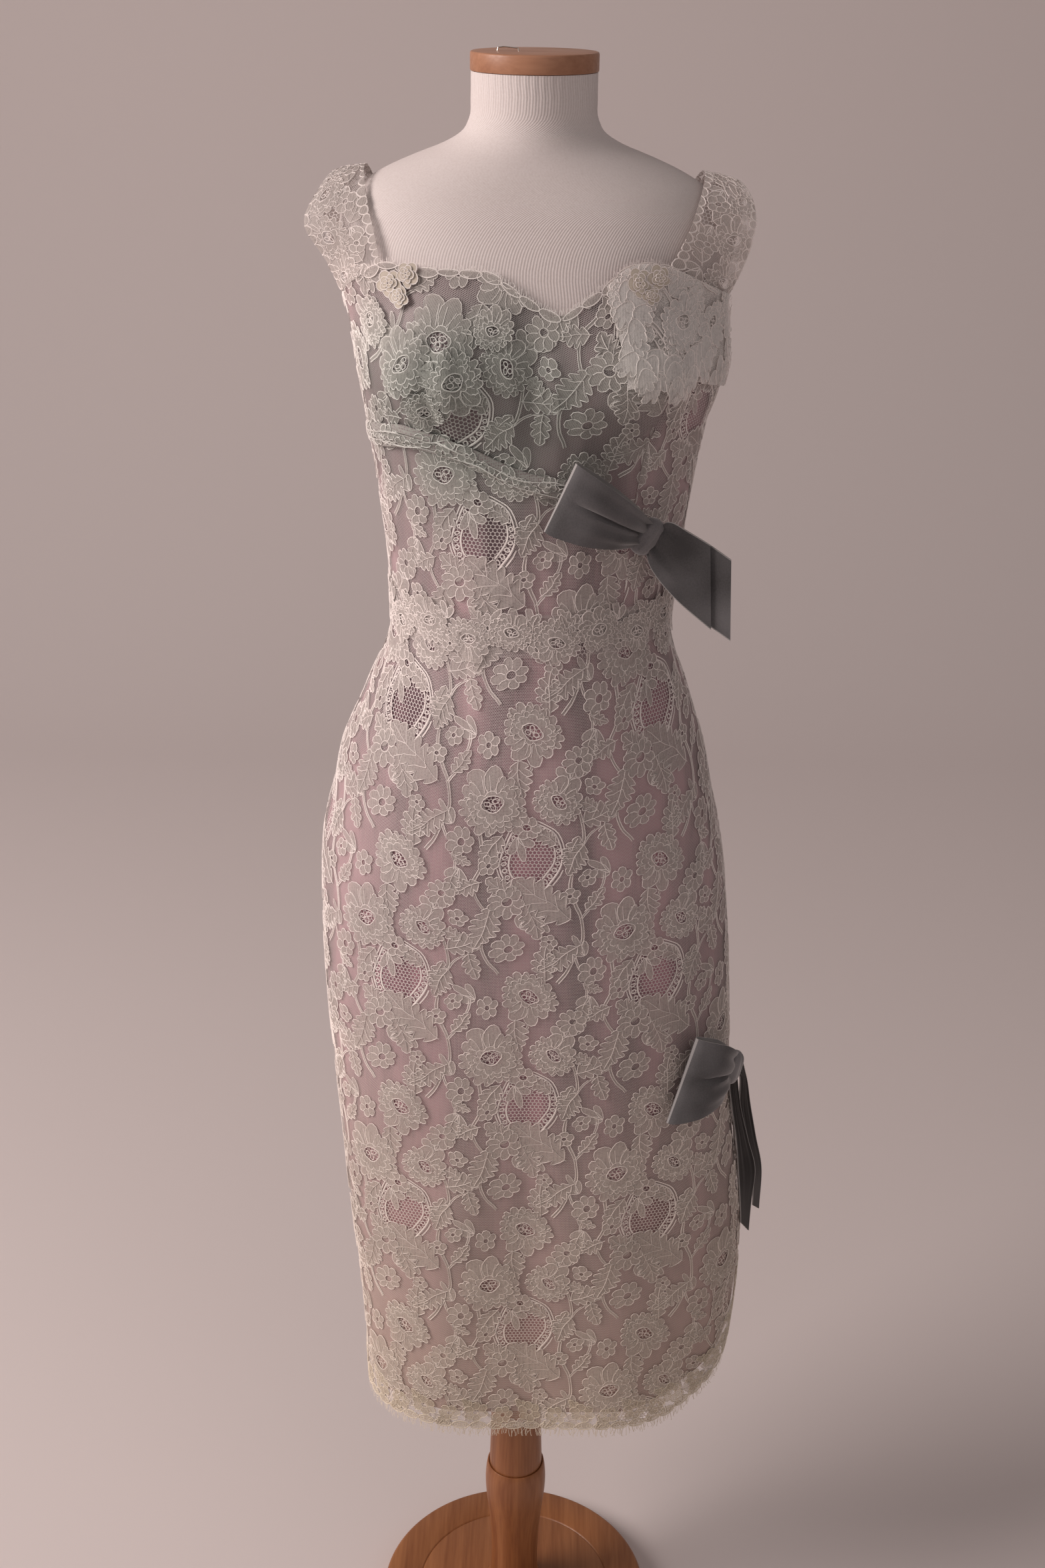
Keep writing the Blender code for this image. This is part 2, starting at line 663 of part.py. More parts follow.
def make_strap(name, nets, side, columns, route):
    # The strap leaves the front panel's top edge, passes over the shoulder and ends on the back panel's.
    top = MIDRIFF_ROWS + BUST_ROWS
    front = nets["bodice_front"]
    back = nets["bodice_back_" + side]
    index = [FRONT_COLUMNS.index(angle) for angle in columns]
    start = front.at(top, index, CLOTH / 2) + (0, 0, SEAM)
    rear = [BACK_COLUMNS.index(angle) for angle in (130, 118, 108, 98)]
    end = back.at(top, rear, CLOTH / 2) + (0, 0, SEAM)
    route = np.array(route)
    lines = []
    for k, share in enumerate(np.linspace(0, 1, len(columns))):
        middle = route[:, :3] * (1 - share) + route[:, 3:] * share
        crown = 4 * share * (1 - share) * 2.0 * MM
        middle = middle + unit(middle - (0, 0, 1.33)) * crown
        lines.append(through(np.concatenate([start[k : k + 1], middle, end[k : k + 1]]), STRAP_STEPS))
    shell(name, np.stack(lines, 1), CLOTH, LACE)


def knot_frame(bow):
    middle = dress_point(bow["angle"], bow["height"])
    normal = dress_normal(bow["angle"], bow["height"])
    centre = middle + normal * (KNOT_HALF[2] + bow["lift"])
    ends = []
    for angle, height, off in (bow["upper"], bow["lower"]):
        ends.append(dress_point(angle, height) + dress_normal(angle, height) * off)
    along = unit((ends[0] + ends[1]) / 2 - centre)
    across = ends[0] - ends[1]
    across = unit(across - along * (across @ along))
    out = np.cross(along, across)
    out = out if out @ normal > 0 else -out
    return centre, along, across, out, ends


def make_bow(prefix, bow, tails):
    centre, along, across, out, ends = knot_frame(bow)
    frame = np.stack([along, across, out])
    rings = []
    for level in np.linspace(-1, 1, 9):
        tight = math.sqrt(max(1 - abs(level) ** 3.0, 0.06))
        turn = np.arange(14) * 2 * math.pi / 14
        local = np.stack([KNOT_HALF[0] * tight * np.cos(turn), 0 * turn + KNOT_HALF[1] * level], -1)
        local = np.concatenate([local, (KNOT_HALF[2] * tight * np.sin(turn))[:, None]], -1)
        rings.append(centre + local @ frame)
    stack(prefix + "_knot", rings, VELVET, 80)
    start = KNOT_HALF[0] + 0.1 * MM
    middle_end = (ends[0] + ends[1]) / 2
    reach = (middle_end - centre) @ along
    half = (ends[0] - ends[1]) / 2
    edges = []
    for share, off, width in BOW_LOOP_ROWS:
        rise = off + bow["arch"] * 4 * share * (1 - share)
        spot = centre + along * (start + (reach - start) * share) + out * rise
        spread = half * width if share > 0.5 else across * np.linalg.norm(half) * width
        edges.append(np.concatenate([spot + spread, spot - spread]))
    make_ribbon(prefix + "_loop", edges, 19)
    for name, route, off in tails:
        spot = centre - along * (start + 0.35 * MM) + out * off
        first = np.concatenate([spot + across * 0.0110, spot - across * 0.0110])
        make_ribbon(name, np.concatenate([[first], np.array(route)]), 9)


def make_ribbon(name, edges, steps):
    rows = through(edges, steps)
    share = np.linspace(0, 1, 4)[None, :, None]
    middle = rows[:, None, :3] * (1 - share) + rows[:, None, 3:] * share
    shell(name, middle, RIBBON, VELVET)


def make_zip():
    heights = np.linspace(ZIP_TOP, ZIP_BOTTOM + SEAM, 13)
    faces = []
    for depth in (0.2 * MM, 0.2 * MM + ZIP_THICKNESS):
        middle = dress_point(180.0, heights)
        rows = [middle * (0, 1, 1) + (side * ZIP_HALF_WIDTH, -depth, 0) for side in (-1, 1)]
        faces.append(np.stack(rows, 1))
    wall("zip_tape", faces[0], faces[1], ZIP_CLOTH)
    plate_back = dress_point(180.0, SLIDER_HEIGHT)[1] + 0.4 * MM
    width, depth, length = SLIDER_SIZE
    bpy.ops.mesh.primitive_cube_add(size=1, location=(0, plate_back + depth / 2, SLIDER_HEIGHT))
    slider = bpy.context.object
    slider.name = slider.data.name = "zip_slider"
    slider.scale = (width, depth, length)
    bpy.ops.object.transform_apply(location=False, rotation=False, scale=True)
    slider.data.materials.append(METAL)
    rounding = slider.modifiers.new("rounding", "BEVEL")
    rounding.width = 0.4 * MM
    rounding.segments = 2
    for side in (-1, 1):
        bpy.ops.mesh.primitive_cube_add(size=1)
        lug = bpy.context.object
        lug.name = "lug"
        lug.location = (side * LUG_OFFSET, plate_back + depth + LUG_SIZE[1] / 2 - 0.3 * MM, SLIDER_HEIGHT)
        lug.scale = LUG_SIZE
        bpy.ops.object.transform_apply(location=False, rotation=False, scale=True)
        lug.hide_render = True
        lug.display_type = "WIRE"
        union = slider.modifiers.new("lug", "BOOLEAN")
        union.operation = "UNION"
        union.object = lug
    axis = (0, plate_back + depth + PULL_AXIS_OUT, SLIDER_HEIGHT)
    mesh = bpy.data.meshes.new("zip_pull")
    shape = bmesh.new()
    corners = [shape.verts.new((x * MM, -PULL_THICKNESS / 2, z * MM)) for x, z in PULL_OUTLINE]
    plate = shape.faces.new(corners)
    grown = bmesh.ops.extrude_face_region(shape, geom=[plate])
    moved = [part for part in grown["geom"] if isinstance(part, bmesh.types.BMVert)]
    bmesh.ops.translate(shape, verts=moved, vec=(0, PULL_THICKNESS, 0))
    bmesh.ops.recalc_face_normals(shape, faces=shape.faces)
    shape.to_mesh(mesh)
    shape.free()
    pull = finish("zip_pull", mesh, METAL)
    pull.location = axis


def make_form():
    sides = 32
    angles = np.arange(sides) * 360 / sides
    angles = np.where(angles > 180, angles - 360, angles)
    heights = [row[0] for row in FORM_ROWS]
    heights = sorted(heights + [1.268, 1.298], reverse=True)
    rings = [form_point(angles, np.full(sides, z)) for z in heights]
    rings[-1] = rings[-1] * (0.985, 0.985, 1)
    hole = POST_RADIUS + RUNNING_GAP
    rings.append(ring(hole, FORM_BOTTOM, sides))
    rings.append(ring(hole, POST_TOP + SEAM, sides))
    stack("form_torso", rings, JERSEY, 60)


def make_stand():
    turned(
        "stand_base",
        (
            (BASE_RADIUS - 0.002, 0.0),
            (BASE_RADIUS, 0.002),
            (BASE_RADIUS, BASE_HEIGHT - 0.004),
            (BASE_RADIUS - 0.0012, BASE_HEIGHT - 0.0012),
            (BASE_RADIUS - 0.004, BASE_HEIGHT),
            (GROOVE_RADIUS + 0.0012, BASE_HEIGHT),
            (GROOVE_RADIUS, BASE_HEIGHT - 0.001),
            (GROOVE_RADIUS - 0.0012, BASE_HEIGHT),
        ),
        48,
        WOOD,
    )
    bore = POST_FOOT_RADIUS + RUNNING_GAP
    tenon = TENON_RADIUS + RUNNING_GAP
    floor = SOCKET_FLOOR - SEAM
    hollow = ((bore, SOCKET_RIM), (bore, floor), (tenon, floor), (tenon, TENON_BOTTOM - SEAM))
    turned("stand_column", COLUMN_PROFILE + hollow, 32, WOOD)
    turned(
        "form_post",
        (
            (TENON_RADIUS, TENON_BOTTOM),
            (TENON_RADIUS, SOCKET_FLOOR),
            (POST_FOOT_RADIUS, SOCKET_FLOOR),
            (POST_FOOT_RADIUS, SOCKET_RIM),
            (POST_RADIUS, 0.240),
            (POST_RADIUS, POST_TOP),
        ),
        32,
        WOOD,
    )
    low = NECK_TOP + SEAM
    turned(
        "neck_cap",
        (
            (CAP_RADIUS - 0.0008, low),
            (CAP_RADIUS, low + 0.0008),
            (CAP_RADIUS, CAP_TOP - 0.0015),
            (CAP_RADIUS - 0.0015, CAP_TOP),
        ),
        40,
        CAP_WOOD,
    )


def make_staple():
    # A bent wire driven into the cap.
    wire = bpy.data.curves.new("cap_staple", "CURVE")
    wire.dimensions = "3D"
    wire.bevel_depth = 0.0005
    wire.bevel_resolution = 1
    wire.use_fill_caps = True
    line = wire.splines.new("POLY")
    route = ((-0.027, 0.004), (-0.0265, 0.0062), (-0.022, 0.0068), (-0.012, 0.0058), (-0.0115, 0.004))
    line.points.add(len(route) - 1)
    for point, (x, rise) in zip(line.points, route):
        point.co = (x, -0.006, CAP_TOP + SEAM + rise - 0.004, 1)
    wire.materials.append(METAL)
    made = bpy.data.objects.new("cap_staple", wire)
    bpy.context.scene.collection.objects.link(made)


make_stand()
make_form()
make_staple()
nets = lattices()
make_lining(nets)
make_lace(nets)
make_waist_band(nets)
make_overlays(nets)
make_strap("strap_right", nets, "right", (-58, -66, -74, -82), STRAP_RIGHT)
make_strap("strap_left", nets, "left", (53, 62, 72, 82), STRAP_LEFT)
make_zip()
make_bow(
    "top_bow",
    TOP_BOW,
    (
        ("top_bow_tail_front", TOP_TAIL_FRONT, 0.0018),
        ("top_bow_tail_back", TOP_TAIL_BACK, -0.0018),
    ),
)
make_bow(
    "slit_bow",
    SLIT_BOW,
    (
        ("slit_bow_tail_front", SLIT_TAIL_FRONT, -0.0018),
        ("slit_bow_tail_back", SLIT_TAIL_BACK, 0.0018),
    ),
)
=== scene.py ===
# A wiggle dress of corded lace over satin, on a jersey-covered dress form and a turned wooden stand.
# Metres, +Z up, the front toward -Y, the wearer's left toward +X.
# Angles around the body are degrees from straight ahead, positive toward the wearer's left, up to 270 at the
# right side seam.

import math

import bpy
import numpy as np
from mathutils import Matrix, Vector


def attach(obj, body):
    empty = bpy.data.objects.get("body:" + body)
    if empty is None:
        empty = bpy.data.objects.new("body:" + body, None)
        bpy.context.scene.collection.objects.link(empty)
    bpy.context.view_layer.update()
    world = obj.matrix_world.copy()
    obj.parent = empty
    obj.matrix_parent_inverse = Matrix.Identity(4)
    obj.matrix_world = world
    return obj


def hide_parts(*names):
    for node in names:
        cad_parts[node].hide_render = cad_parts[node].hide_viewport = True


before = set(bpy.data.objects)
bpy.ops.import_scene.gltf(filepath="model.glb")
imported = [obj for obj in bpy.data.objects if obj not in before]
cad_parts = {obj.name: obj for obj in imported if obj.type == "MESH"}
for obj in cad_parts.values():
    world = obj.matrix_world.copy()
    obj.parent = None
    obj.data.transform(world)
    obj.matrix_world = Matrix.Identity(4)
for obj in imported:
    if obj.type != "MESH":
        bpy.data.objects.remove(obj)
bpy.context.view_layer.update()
mm = 0.001
waveScale = 314.0  # a wave texture's scale is this over the spacing in mm

# ---- camera, light and floor

studio = {
    "lens": 44.85,  # mm, on a sensor 36 mm long
    "cameraPlace": (-0.002, -1.5, 1.5915),
    "lookDown": 24.0,  # degrees
    "lean": 0.75,  # degrees, the camera's tilt to one side
    "keyPlace": (-2.7, -0.85, 2.5),
    "keyPower": 90.0,
    "keySize": 1.9,
    "fillPlace": (1.2, -2.6, 3.2),
    "fillPower": 11.0,
    "fillSize": 3.0,
    "skyStrength": 0.21,
    "floor": "#e6dddb",
    "wallDistance": 3.4,
}


def linear(code):
    # an sRGB hex value as linear light
    parts = [int(code[k : k + 2], 16) / 255 for k in (1, 3, 5)]
    return tuple(p / 12.92 if p <= 0.04045 else ((p + 0.055) / 1.055) ** 2.4 for p in parts) + (1.0,)


def setInputs(node, values):
    # gives a node's sockets their values or links
    for socket, value in values.items():
        if isinstance(value, bpy.types.NodeSocket):
            node.id_data.links.new(value, node.inputs[socket])
        else:
            node.inputs[socket].default_value = value


def addNode(tree, kind, values=None, give=None, **settings):
    # one shader node with its settings, and its values or links by socket; hands back one output, the first
    # in use if none is named
    made = tree.nodes.new("ShaderNode" + kind)
    for name, setting in settings.items():
        setattr(made, name, setting)
    setInputs(made, values or {})
    return made.outputs[give] if give else next(socket for socket in made.outputs if socket.enabled)


def newMaterial(name):
    made = bpy.data.materials.new(name)
    made.use_nodes = True
    return made, made.node_tree, made.node_tree.nodes["Principled BSDF"]


def addLamp(name, place, size, power, color):
    bpy.ops.object.light_add(type="AREA", location=place)
    lamp = bpy.context.object
    lamp.name = name
    lamp.data.shape = "DISK"
    lamp.data.size = size
    lamp.data.energy = power
    lamp.data.color = linear(color)[:3]
    lamp.rotation_euler = (Vector((0, 0, 0.9)) - Vector(place)).to_track_quat("-Z", "Y").to_euler()


def makeStudio():
    turn = Matrix.Rotation(math.radians(90 - studio["lookDown"]), 4, "X")
    turn = turn @ Matrix.Rotation(math.radians(studio["lean"]), 4, "Z")
    bpy.ops.object.camera_add(location=studio["cameraPlace"], rotation=turn.to_euler())
    camera = bpy.context.object
    camera.data.lens = studio["lens"]
    camera.data.sensor_width = 36
    camera.data.clip_end = 40
    scene = bpy.context.scene
    scene.camera = camera
    scene.view_settings.view_transform = "Standard"
    addLamp("windowLamp", studio["keyPlace"], studio["keySize"], studio["keyPower"], "#fff1ec")
    addLamp("fillLamp", studio["fillPlace"], studio["fillSize"], studio["fillPower"], "#ffefe8")
    scene.world = bpy.data.worlds.new("studioSky")
    scene.world.use_nodes = True
    sky = scene.world.node_tree.nodes["Background"]
    sky.inputs["Color"].default_value = linear("#f5eae8")
    sky.inputs["Strength"].default_value = studio["skyStrength"]
    # painted floor that curves up into the wall behind
    bpy.ops.object.select_all(action="DESELECT")
    bpy.ops.mesh.primitive_plane_add(size=14, location=(0, studio["wallDistance"] - 7, 0))
    floor = bpy.context.object
    floor.name = "studioFloor"
    bpy.ops.object.transform_apply(location=True)
    for edge in floor.data.edges:
        edge.select = all(floor.data.vertices[v].co.y > 0 for v in edge.vertices)
    for vertex in floor.data.vertices:
        vertex.select = vertex.co.y > 0
    for face in floor.data.polygons:
        face.select = False
    bpy.ops.object.mode_set(mode="EDIT")
    bpy.ops.mesh.select_mode(type="EDGE")
    bpy.ops.mesh.extrude_region_move(TRANSFORM_OT_translate={"value": (0, 0, 6)})
    bpy.ops.object.mode_set(mode="OBJECT")
    curve = floor.modifiers.new("curve", "BEVEL")
    curve.width = 1.2
    curve.segments = 24
    bpy.ops.object.modifier_apply(modifier="curve")
    bpy.ops.object.shade_smooth_by_angle(angle=math.radians(40))
    paint, _, shader = newMaterial("mattFloorPaint")
    setInputs(shader, {"Base Color": linear(studio["floor"]), "Roughness": 0.9})
    floor.data.materials.append(paint)


makeStudio()
print("studio ready")

# ---- the surfaces of the form and the dress

form = {
    "rows": (
        # height, half width, front depth, back depth, squareness
        (0.770, 0.1630, 0.1040, 0.1070, 2.3), (0.800, 0.1655, 0.1070, 0.1120, 2.3),
        (0.850, 0.1645, 0.1080, 0.1185, 2.3), (0.890, 0.1585, 0.1080, 0.1215, 2.2),
        (0.930, 0.1500, 0.1070, 0.1195, 2.2), (0.970, 0.1415, 0.1040, 0.1130, 2.1),
        (1.000, 0.1315, 0.1000, 0.1040, 2.0), (1.025, 0.1210, 0.0960, 0.0950, 2.0),
        (1.050, 0.1095, 0.0915, 0.0880, 2.0), (1.075, 0.1042, 0.0885, 0.0845, 2.0),
        (1.100, 0.1045, 0.0865, 0.0860, 2.0), (1.140, 0.1080, 0.0875, 0.0895, 2.0),
        (1.180, 0.1130, 0.0910, 0.0940, 2.0), (1.220, 0.1185, 0.0960, 0.0980, 2.1),
        (1.250, 0.1225, 0.1005, 0.1005, 2.1), (1.285, 0.1288, 0.1045, 0.1025, 2.1),
        (1.310, 0.1325, 0.1018, 0.1008, 2.1), (1.335, 0.1375, 0.0958, 0.0978, 2.1),
        (1.360, 0.1432, 0.0870, 0.0935, 2.2), (1.380, 0.1440, 0.0790, 0.0860, 2.3),
        (1.398, 0.1380, 0.0720, 0.0820, 2.3), (1.410, 0.1260, 0.0660, 0.0760, 2.3),
        (1.420, 0.1090, 0.0610, 0.0710, 2.2), (1.430, 0.0860, 0.0560, 0.0660, 2.1),
        (1.437, 0.0680, 0.0530, 0.0620, 2.0), (1.445, 0.0540, 0.0500, 0.0570, 2.0),
        (1.455, 0.0475, 0.0470, 0.0500, 2.0), (1.470, 0.0462, 0.0462, 0.0462, 2.0),
        (1.488, 0.0460, 0.0460, 0.0460, 2.0),
    ),
    "sides": 144,
    "ribSpacing": 2.2,  # mm between the knit's vertical ribs
    "postHole": 0.0249,
    "postTop": 0.8348,
    "cup": (38.0, 24.0, 1.285, 0.038),  # a cup's angle from the front, its reach, its height and its reach
    "cupDepth": 0.021,
}

dress = {
    "rows": (
        # height, half width right, half width left, front depth, back depth, squareness
        (0.300, 0.1400, 0.1930, 0.1180, 0.1150, 3.1), (0.335, 0.1405, 0.1950, 0.1180, 0.1150, 3.1),
        (0.400, 0.1427, 0.2000, 0.1180, 0.1150, 3.0), (0.450, 0.1465, 0.2030, 0.1175, 0.1150, 2.9),
        (0.500, 0.1516, 0.2030, 0.1170, 0.1150, 2.8), (0.550, 0.1560, 0.1990, 0.1160, 0.1150, 2.8),
        (0.600, 0.1600, 0.1920, 0.1150, 0.1150, 2.7), (0.650, 0.1640, 0.1870, 0.1140, 0.1150, 2.6),
        (0.700, 0.1680, 0.1830, 0.1135, 0.1155, 2.5), (0.750, 0.1710, 0.1800, 0.1130, 0.1170, 2.4),
        (0.800, 0.1720, 0.1760, 0.1130, 0.1200, 2.3), (0.840, 0.1720, 0.1720, 0.1130, 0.1235, 2.3),
        (0.870, 0.1707, 0.1680, 0.1130, 0.1262, 2.3), (0.900, 0.1670, 0.1625, 0.1130, 0.1270, 2.2),
        (0.930, 0.1590, 0.1550, 0.1125, 0.1255, 2.2), (0.970, 0.1500, 0.1465, 0.1100, 0.1190, 2.1),
        (1.000, 0.1367, 0.1368, 0.1060, 0.1100, 2.0), (1.030, 0.1240, 0.1270, 0.1010, 0.0985, 2.0),
        (1.050, 0.1145, 0.1190, 0.0970, 0.0935, 2.0), (1.070, 0.1095, 0.1150, 0.0940, 0.0900, 2.0),
        (1.090, 0.1090, 0.1155, 0.0925, 0.0905, 2.0), (1.120, 0.1110, 0.1190, 0.0920, 0.0930, 2.0),
        (1.150, 0.1140, 0.1230, 0.0935, 0.0960, 2.0), (1.180, 0.1180, 0.1270, 0.0960, 0.0990, 2.0),
        (1.220, 0.1235, 0.1330, 0.1010, 0.1030, 2.1), (1.240, 0.1265, 0.1370, 0.1040, 0.1050, 2.1),
        (1.260, 0.1295, 0.1435, 0.1070, 0.1062, 2.1), (1.285, 0.1338, 0.1490, 0.1095, 0.1078, 2.1),
        (1.300, 0.1360, 0.1495, 0.1085, 0.1070, 2.1), (1.320, 0.1405, 0.1475, 0.1050, 0.1050, 2.1),
        (1.335, 0.1440, 0.1490, 0.1008, 0.1028, 2.1), (1.360, 0.1505, 0.1520, 0.0920, 0.0985, 2.2),
        (1.380, 0.1515, 0.1525, 0.0850, 0.0930, 2.2),
    ),
    "rearRows": (
        # height, half width left of the back panel, beside the slit
        (0.300, 0.1690), (0.335, 0.1700), (0.400, 0.1750), (0.500, 0.1800), (0.600, 0.1840),
        (0.660, 0.1862),
    ),
    "cupDepth": 0.022,
    "slitTop": 0.660,
    "waist": 1.0845,
    "hem": (
        # angle, height
        (-90, 0.337), (46, 0.337), (53, 0.342), (62, 0.362), (72, 0.384), (82, 0.415), (90, 0.470),
        (98, 0.415), (108, 0.384), (118, 0.362), (130, 0.342), (145, 0.337), (270, 0.337),
    ),
    "neck": (
        (-90, 1.325), (-82, 1.333), (-74, 1.341), (-66, 1.350), (-58, 1.361), (-48, 1.360), (-38, 1.360),
        (-28, 1.360), (-18, 1.3585), (-6, 1.347), (4, 1.337), (12, 1.332), (21, 1.341), (30, 1.351),
        (38, 1.362), (46, 1.365), (53, 1.362), (62, 1.352), (72, 1.342), (82, 1.333), (90, 1.325),
        (98, 1.333), (108, 1.342), (118, 1.350), (130, 1.352), (145, 1.332), (158, 1.314), (170, 1.303),
        (190, 1.303), (202, 1.314), (215, 1.332), (230, 1.352), (242, 1.350), (252, 1.342), (262, 1.333),
        (270, 1.325),
    ),
    "drapeSeam": (
        (-90, 1.226), (-58, 1.236), (-48, 1.240), (-28, 1.232), (-6, 1.214), (4, 1.208), (12, 1.205),
        (30, 1.195), (46, 1.180),
    ),
    "zipBottom": 0.9253,
    "zipTop": 1.296,
    "zipHalfGap": 0.0035,
    "netDepth": 0.5,  # mm below the dress's outer face
    "liningDepth": 1.7,
    "liningShort": 17.0,  # how far its hem stops above the lace's
    "liningShortOfSlit": 4.0,  # degrees
    "liningFolds": (
        # of the satin alone, in the same order; a rise above 1.1 mm would lift it through the net
        (-50, 1.03, -56, 0.36, 9, 1.03), (-37, 1.02, -43, 0.50, 7, -0.75), (-27, 1.04, -31, 0.36, 9, 1.03),
        (-15, 0.98, -19, 0.45, 8, -0.75), (-6, 1.03, -8, 0.36, 8, 1.03), (5, 0.96, 5, 0.42, 7, -0.75),
        (14, 1.03, 18, 0.36, 9, 1.03), (24, 0.90, 29, 0.40, 8, -0.75), (34, 1.04, 40, 0.36, 9, 1.07),
        (46, 1.00, 52, 0.40, 8, -0.75), (58, 1.03, 64, 0.36, 10, 1.03),
        (-44, 1.22, -42, 1.09, 6, 1.03), (-33, 1.21, -32, 1.09, 5, -0.75), (-22, 1.20, -21, 1.09, 6, 1.03),
        (-8, 1.18, -8, 1.09, 5, 0.95), (4, 1.17, 5, 1.09, 5, -0.75),
    ),
    "liningWall": 0.7,
    "cell": 5.0,  # mm, of the cloth's mesh
    # soft troughs and ridges pressed into the cloth
    "folds": (
        # angle and height at the top, angle and height at the foot, half width in mm, rise in mm
        (-30, 1.084, -25, 0.985, 4, -1.3), (-24, 1.084, -19, 0.975, 7, 1.0),
        (62, 1.084, 55, 0.985, 4, -1.2), (56, 1.084, 50, 0.980, 6, 0.8), (-8, 1.060, -10, 0.800, 16, 0.9),
        (14, 1.050, 20, 0.700, 20, 1.0), (-40, 0.980, -46, 0.480, 22, 1.2),
        (-18, 0.760, -24, 0.360, 20, 1.4), (2, 0.820, 6, 0.350, 16, -1.1), (28, 0.760, 36, 0.350, 22, 1.7),
        (46, 0.640, 52, 0.350, 16, -1.4), (64, 0.700, 66, 0.380, 18, 2.0),
        (-64, 0.900, -68, 0.380, 22, 1.3), (46, 1.290, 44, 1.185, 3.5, -2.4),
        (42, 1.300, 40, 1.180, 4, 1.4), (50, 1.270, 49, 1.120, 4, 1.2), (-34, 1.330, -34, 1.225, 4, -2.8),
        (-28, 1.320, -27, 1.230, 5, 2.2), (-40, 1.320, -44, 1.240, 5, 1.2),
        (-60, 1.330, -52, 1.240, 6, 1.3), (-8, 1.330, -6, 1.215, 6, 1.3), (0, 1.335, 2, 1.210, 4, -1.2),
        (8, 1.320, 12, 1.205, 5, 1.3), (18, 1.280, 22, 1.200, 5, 1.2), (-22, 1.225, -18, 1.100, 5, 0.9),
        (-6, 1.205, -8, 1.095, 5, 0.9), (8, 1.200, 4, 1.100, 6, -0.9), (24, 1.190, 22, 1.095, 6, 0.9),
        (160, 1.060, 156, 0.900, 7, 1.0), (200, 1.060, 204, 0.900, 7, 1.0),
        (150, 0.800, 142, 0.360, 26, 1.6), (212, 0.820, 220, 0.360, 26, 1.5),
        (176, 0.760, 172, 0.350, 20, 1.2), (192, 0.700, 194, 0.350, 18, -1.2),
    ),
}


def smooth(at, knots, values):
    # a cubic through the values, with slopes taken from the neighbours
    knots, values = np.asarray(knots, float), np.asarray(values, float)
    slopes = np.gradient(values, knots)
    at = np.clip(at, knots[0], knots[-1])
    i = np.clip(np.searchsorted(knots, at, side="right") - 1, 0, len(knots) - 2)
    span = knots[i + 1] - knots[i]
    t = (at - knots[i]) / span
    stay = values[i] * (1 + 2 * t) * (1 - t) ** 2 + values[i + 1] * t * t * (3 - 2 * t)
    return stay + span * (slopes[i] * t * (1 - t) ** 2 - slopes[i + 1] * t * t * (1 - t))


def edgeAt(table, angle):
    rows = np.array(table, float)
    return np.interp(angle, rows[:, 0], rows[:, 1])


def outline(angle, right, left, front, back, square):
    # a squared ellipse around the body, with its own reach toward each of the four sides
    turn = np.radians(angle)
    side, ahead = np.sin(turn), np.cos(turn)
    width = np.where(side < 0, right, left)
    depth = np.where(ahead > 0, front, back)
    radius = (np.abs(side / width) ** square + np.abs(ahead / depth) ** square) ** (-1 / square)
    return radius * side, -radius * ahead


def bulged(angle, height, x, y, depth):
    middle, reach, level, tall = form["cup"]
    turn = (np.abs(angle) - middle) / reach
    rise = (height - level) / tall
    grow = depth * np.exp(-turn * turn - rise * rise) * np.where(np.abs(angle) < 90, 1.0, 0.0)
    away = np.hypot(x, y)
    return x + grow * x / away, y + grow * y / away


def formPoint(angle, height):
    z, half, front, back, square = np.array(form["rows"]).T
    width = smooth(height, z, half)
    sizes = (smooth(height, z, front), smooth(height, z, back), smooth(height, z, square))
    x, y = outline(angle, width, width, *sizes)
    x, y = bulged(angle, height, x, y, form["cupDepth"])
    return np.stack([x, y, height + 0 * x], -1)


def dressPoint(angle, height, rear=False):
    z, right, left, front, back, square = np.array(dress["rows"]).T
    reach = smooth(height, z, left)
    if rear:
        low, straight = np.array(dress["rearRows"]).T
        reach = np.where(height < dress["slitTop"], smooth(height, low, straight), reach)
    sizes = (smooth(height, z, front), smooth(height, z, back), smooth(height, z, square))
    x, y = outline(angle, smooth(height, z, right), reach, *sizes)
    x, y = bulged(angle, height, x, y, dress["cupDepth"])
    return np.stack([x, y, height + 0 * x], -1)


def unit(vector):
    return vector / np.maximum(np.linalg.norm(vector, axis=-1, keepdims=True), 1e-12)


def dressNormal(angle, height, rear=False):
    around = dressPoint(angle + 0.5, height, rear) - dressPoint(angle - 0.5, height, rear)
    up = dressPoint(angle, height + mm, rear) - dressPoint(angle, height - mm, rear)
    return unit(np.cross(around, up))


def ease(t):
    t = np.clip(t, 0, 1)
    return t * t * (3 - 2 * t)


def foldRise(angle, height, folds=dress["folds"]):
    # how far the creases lift or sink the cloth, in metres
    total = 0 * angle
    for topAngle, top, footAngle, foot, width, rise in folds:
        t = (top - height) / (top - foot)
        middle = topAngle + (footAngle - topAngle) * t
        across = (angle - middle) * (0.0021 if top < 1.1 else 0.0020) / (width * mm)
        share = ease(t / 0.2) * ease((1 - t) / 0.3) * np.where((t > 0) & (t < 1), 1.0, 0.0)
        if top <= 1.084 and top > 1.05:
            share = ease((1 - t) / 0.8) * np.where((t > -0.02) & (t < 1), 1.0, 0.0)
        if foot < 0.4:
            share = ease(t / 0.4) * np.where(t > 0, 1.0, 0.0)
        total = total + rise * mm * np.exp(-across * across) * share
    return total


def clothPoint(angle, height, rise, rear=False):
    lift = rise + foldRise(angle, height)
    return dressPoint(angle, height, rear) + dressNormal(angle, height, rear) * lift[..., None]


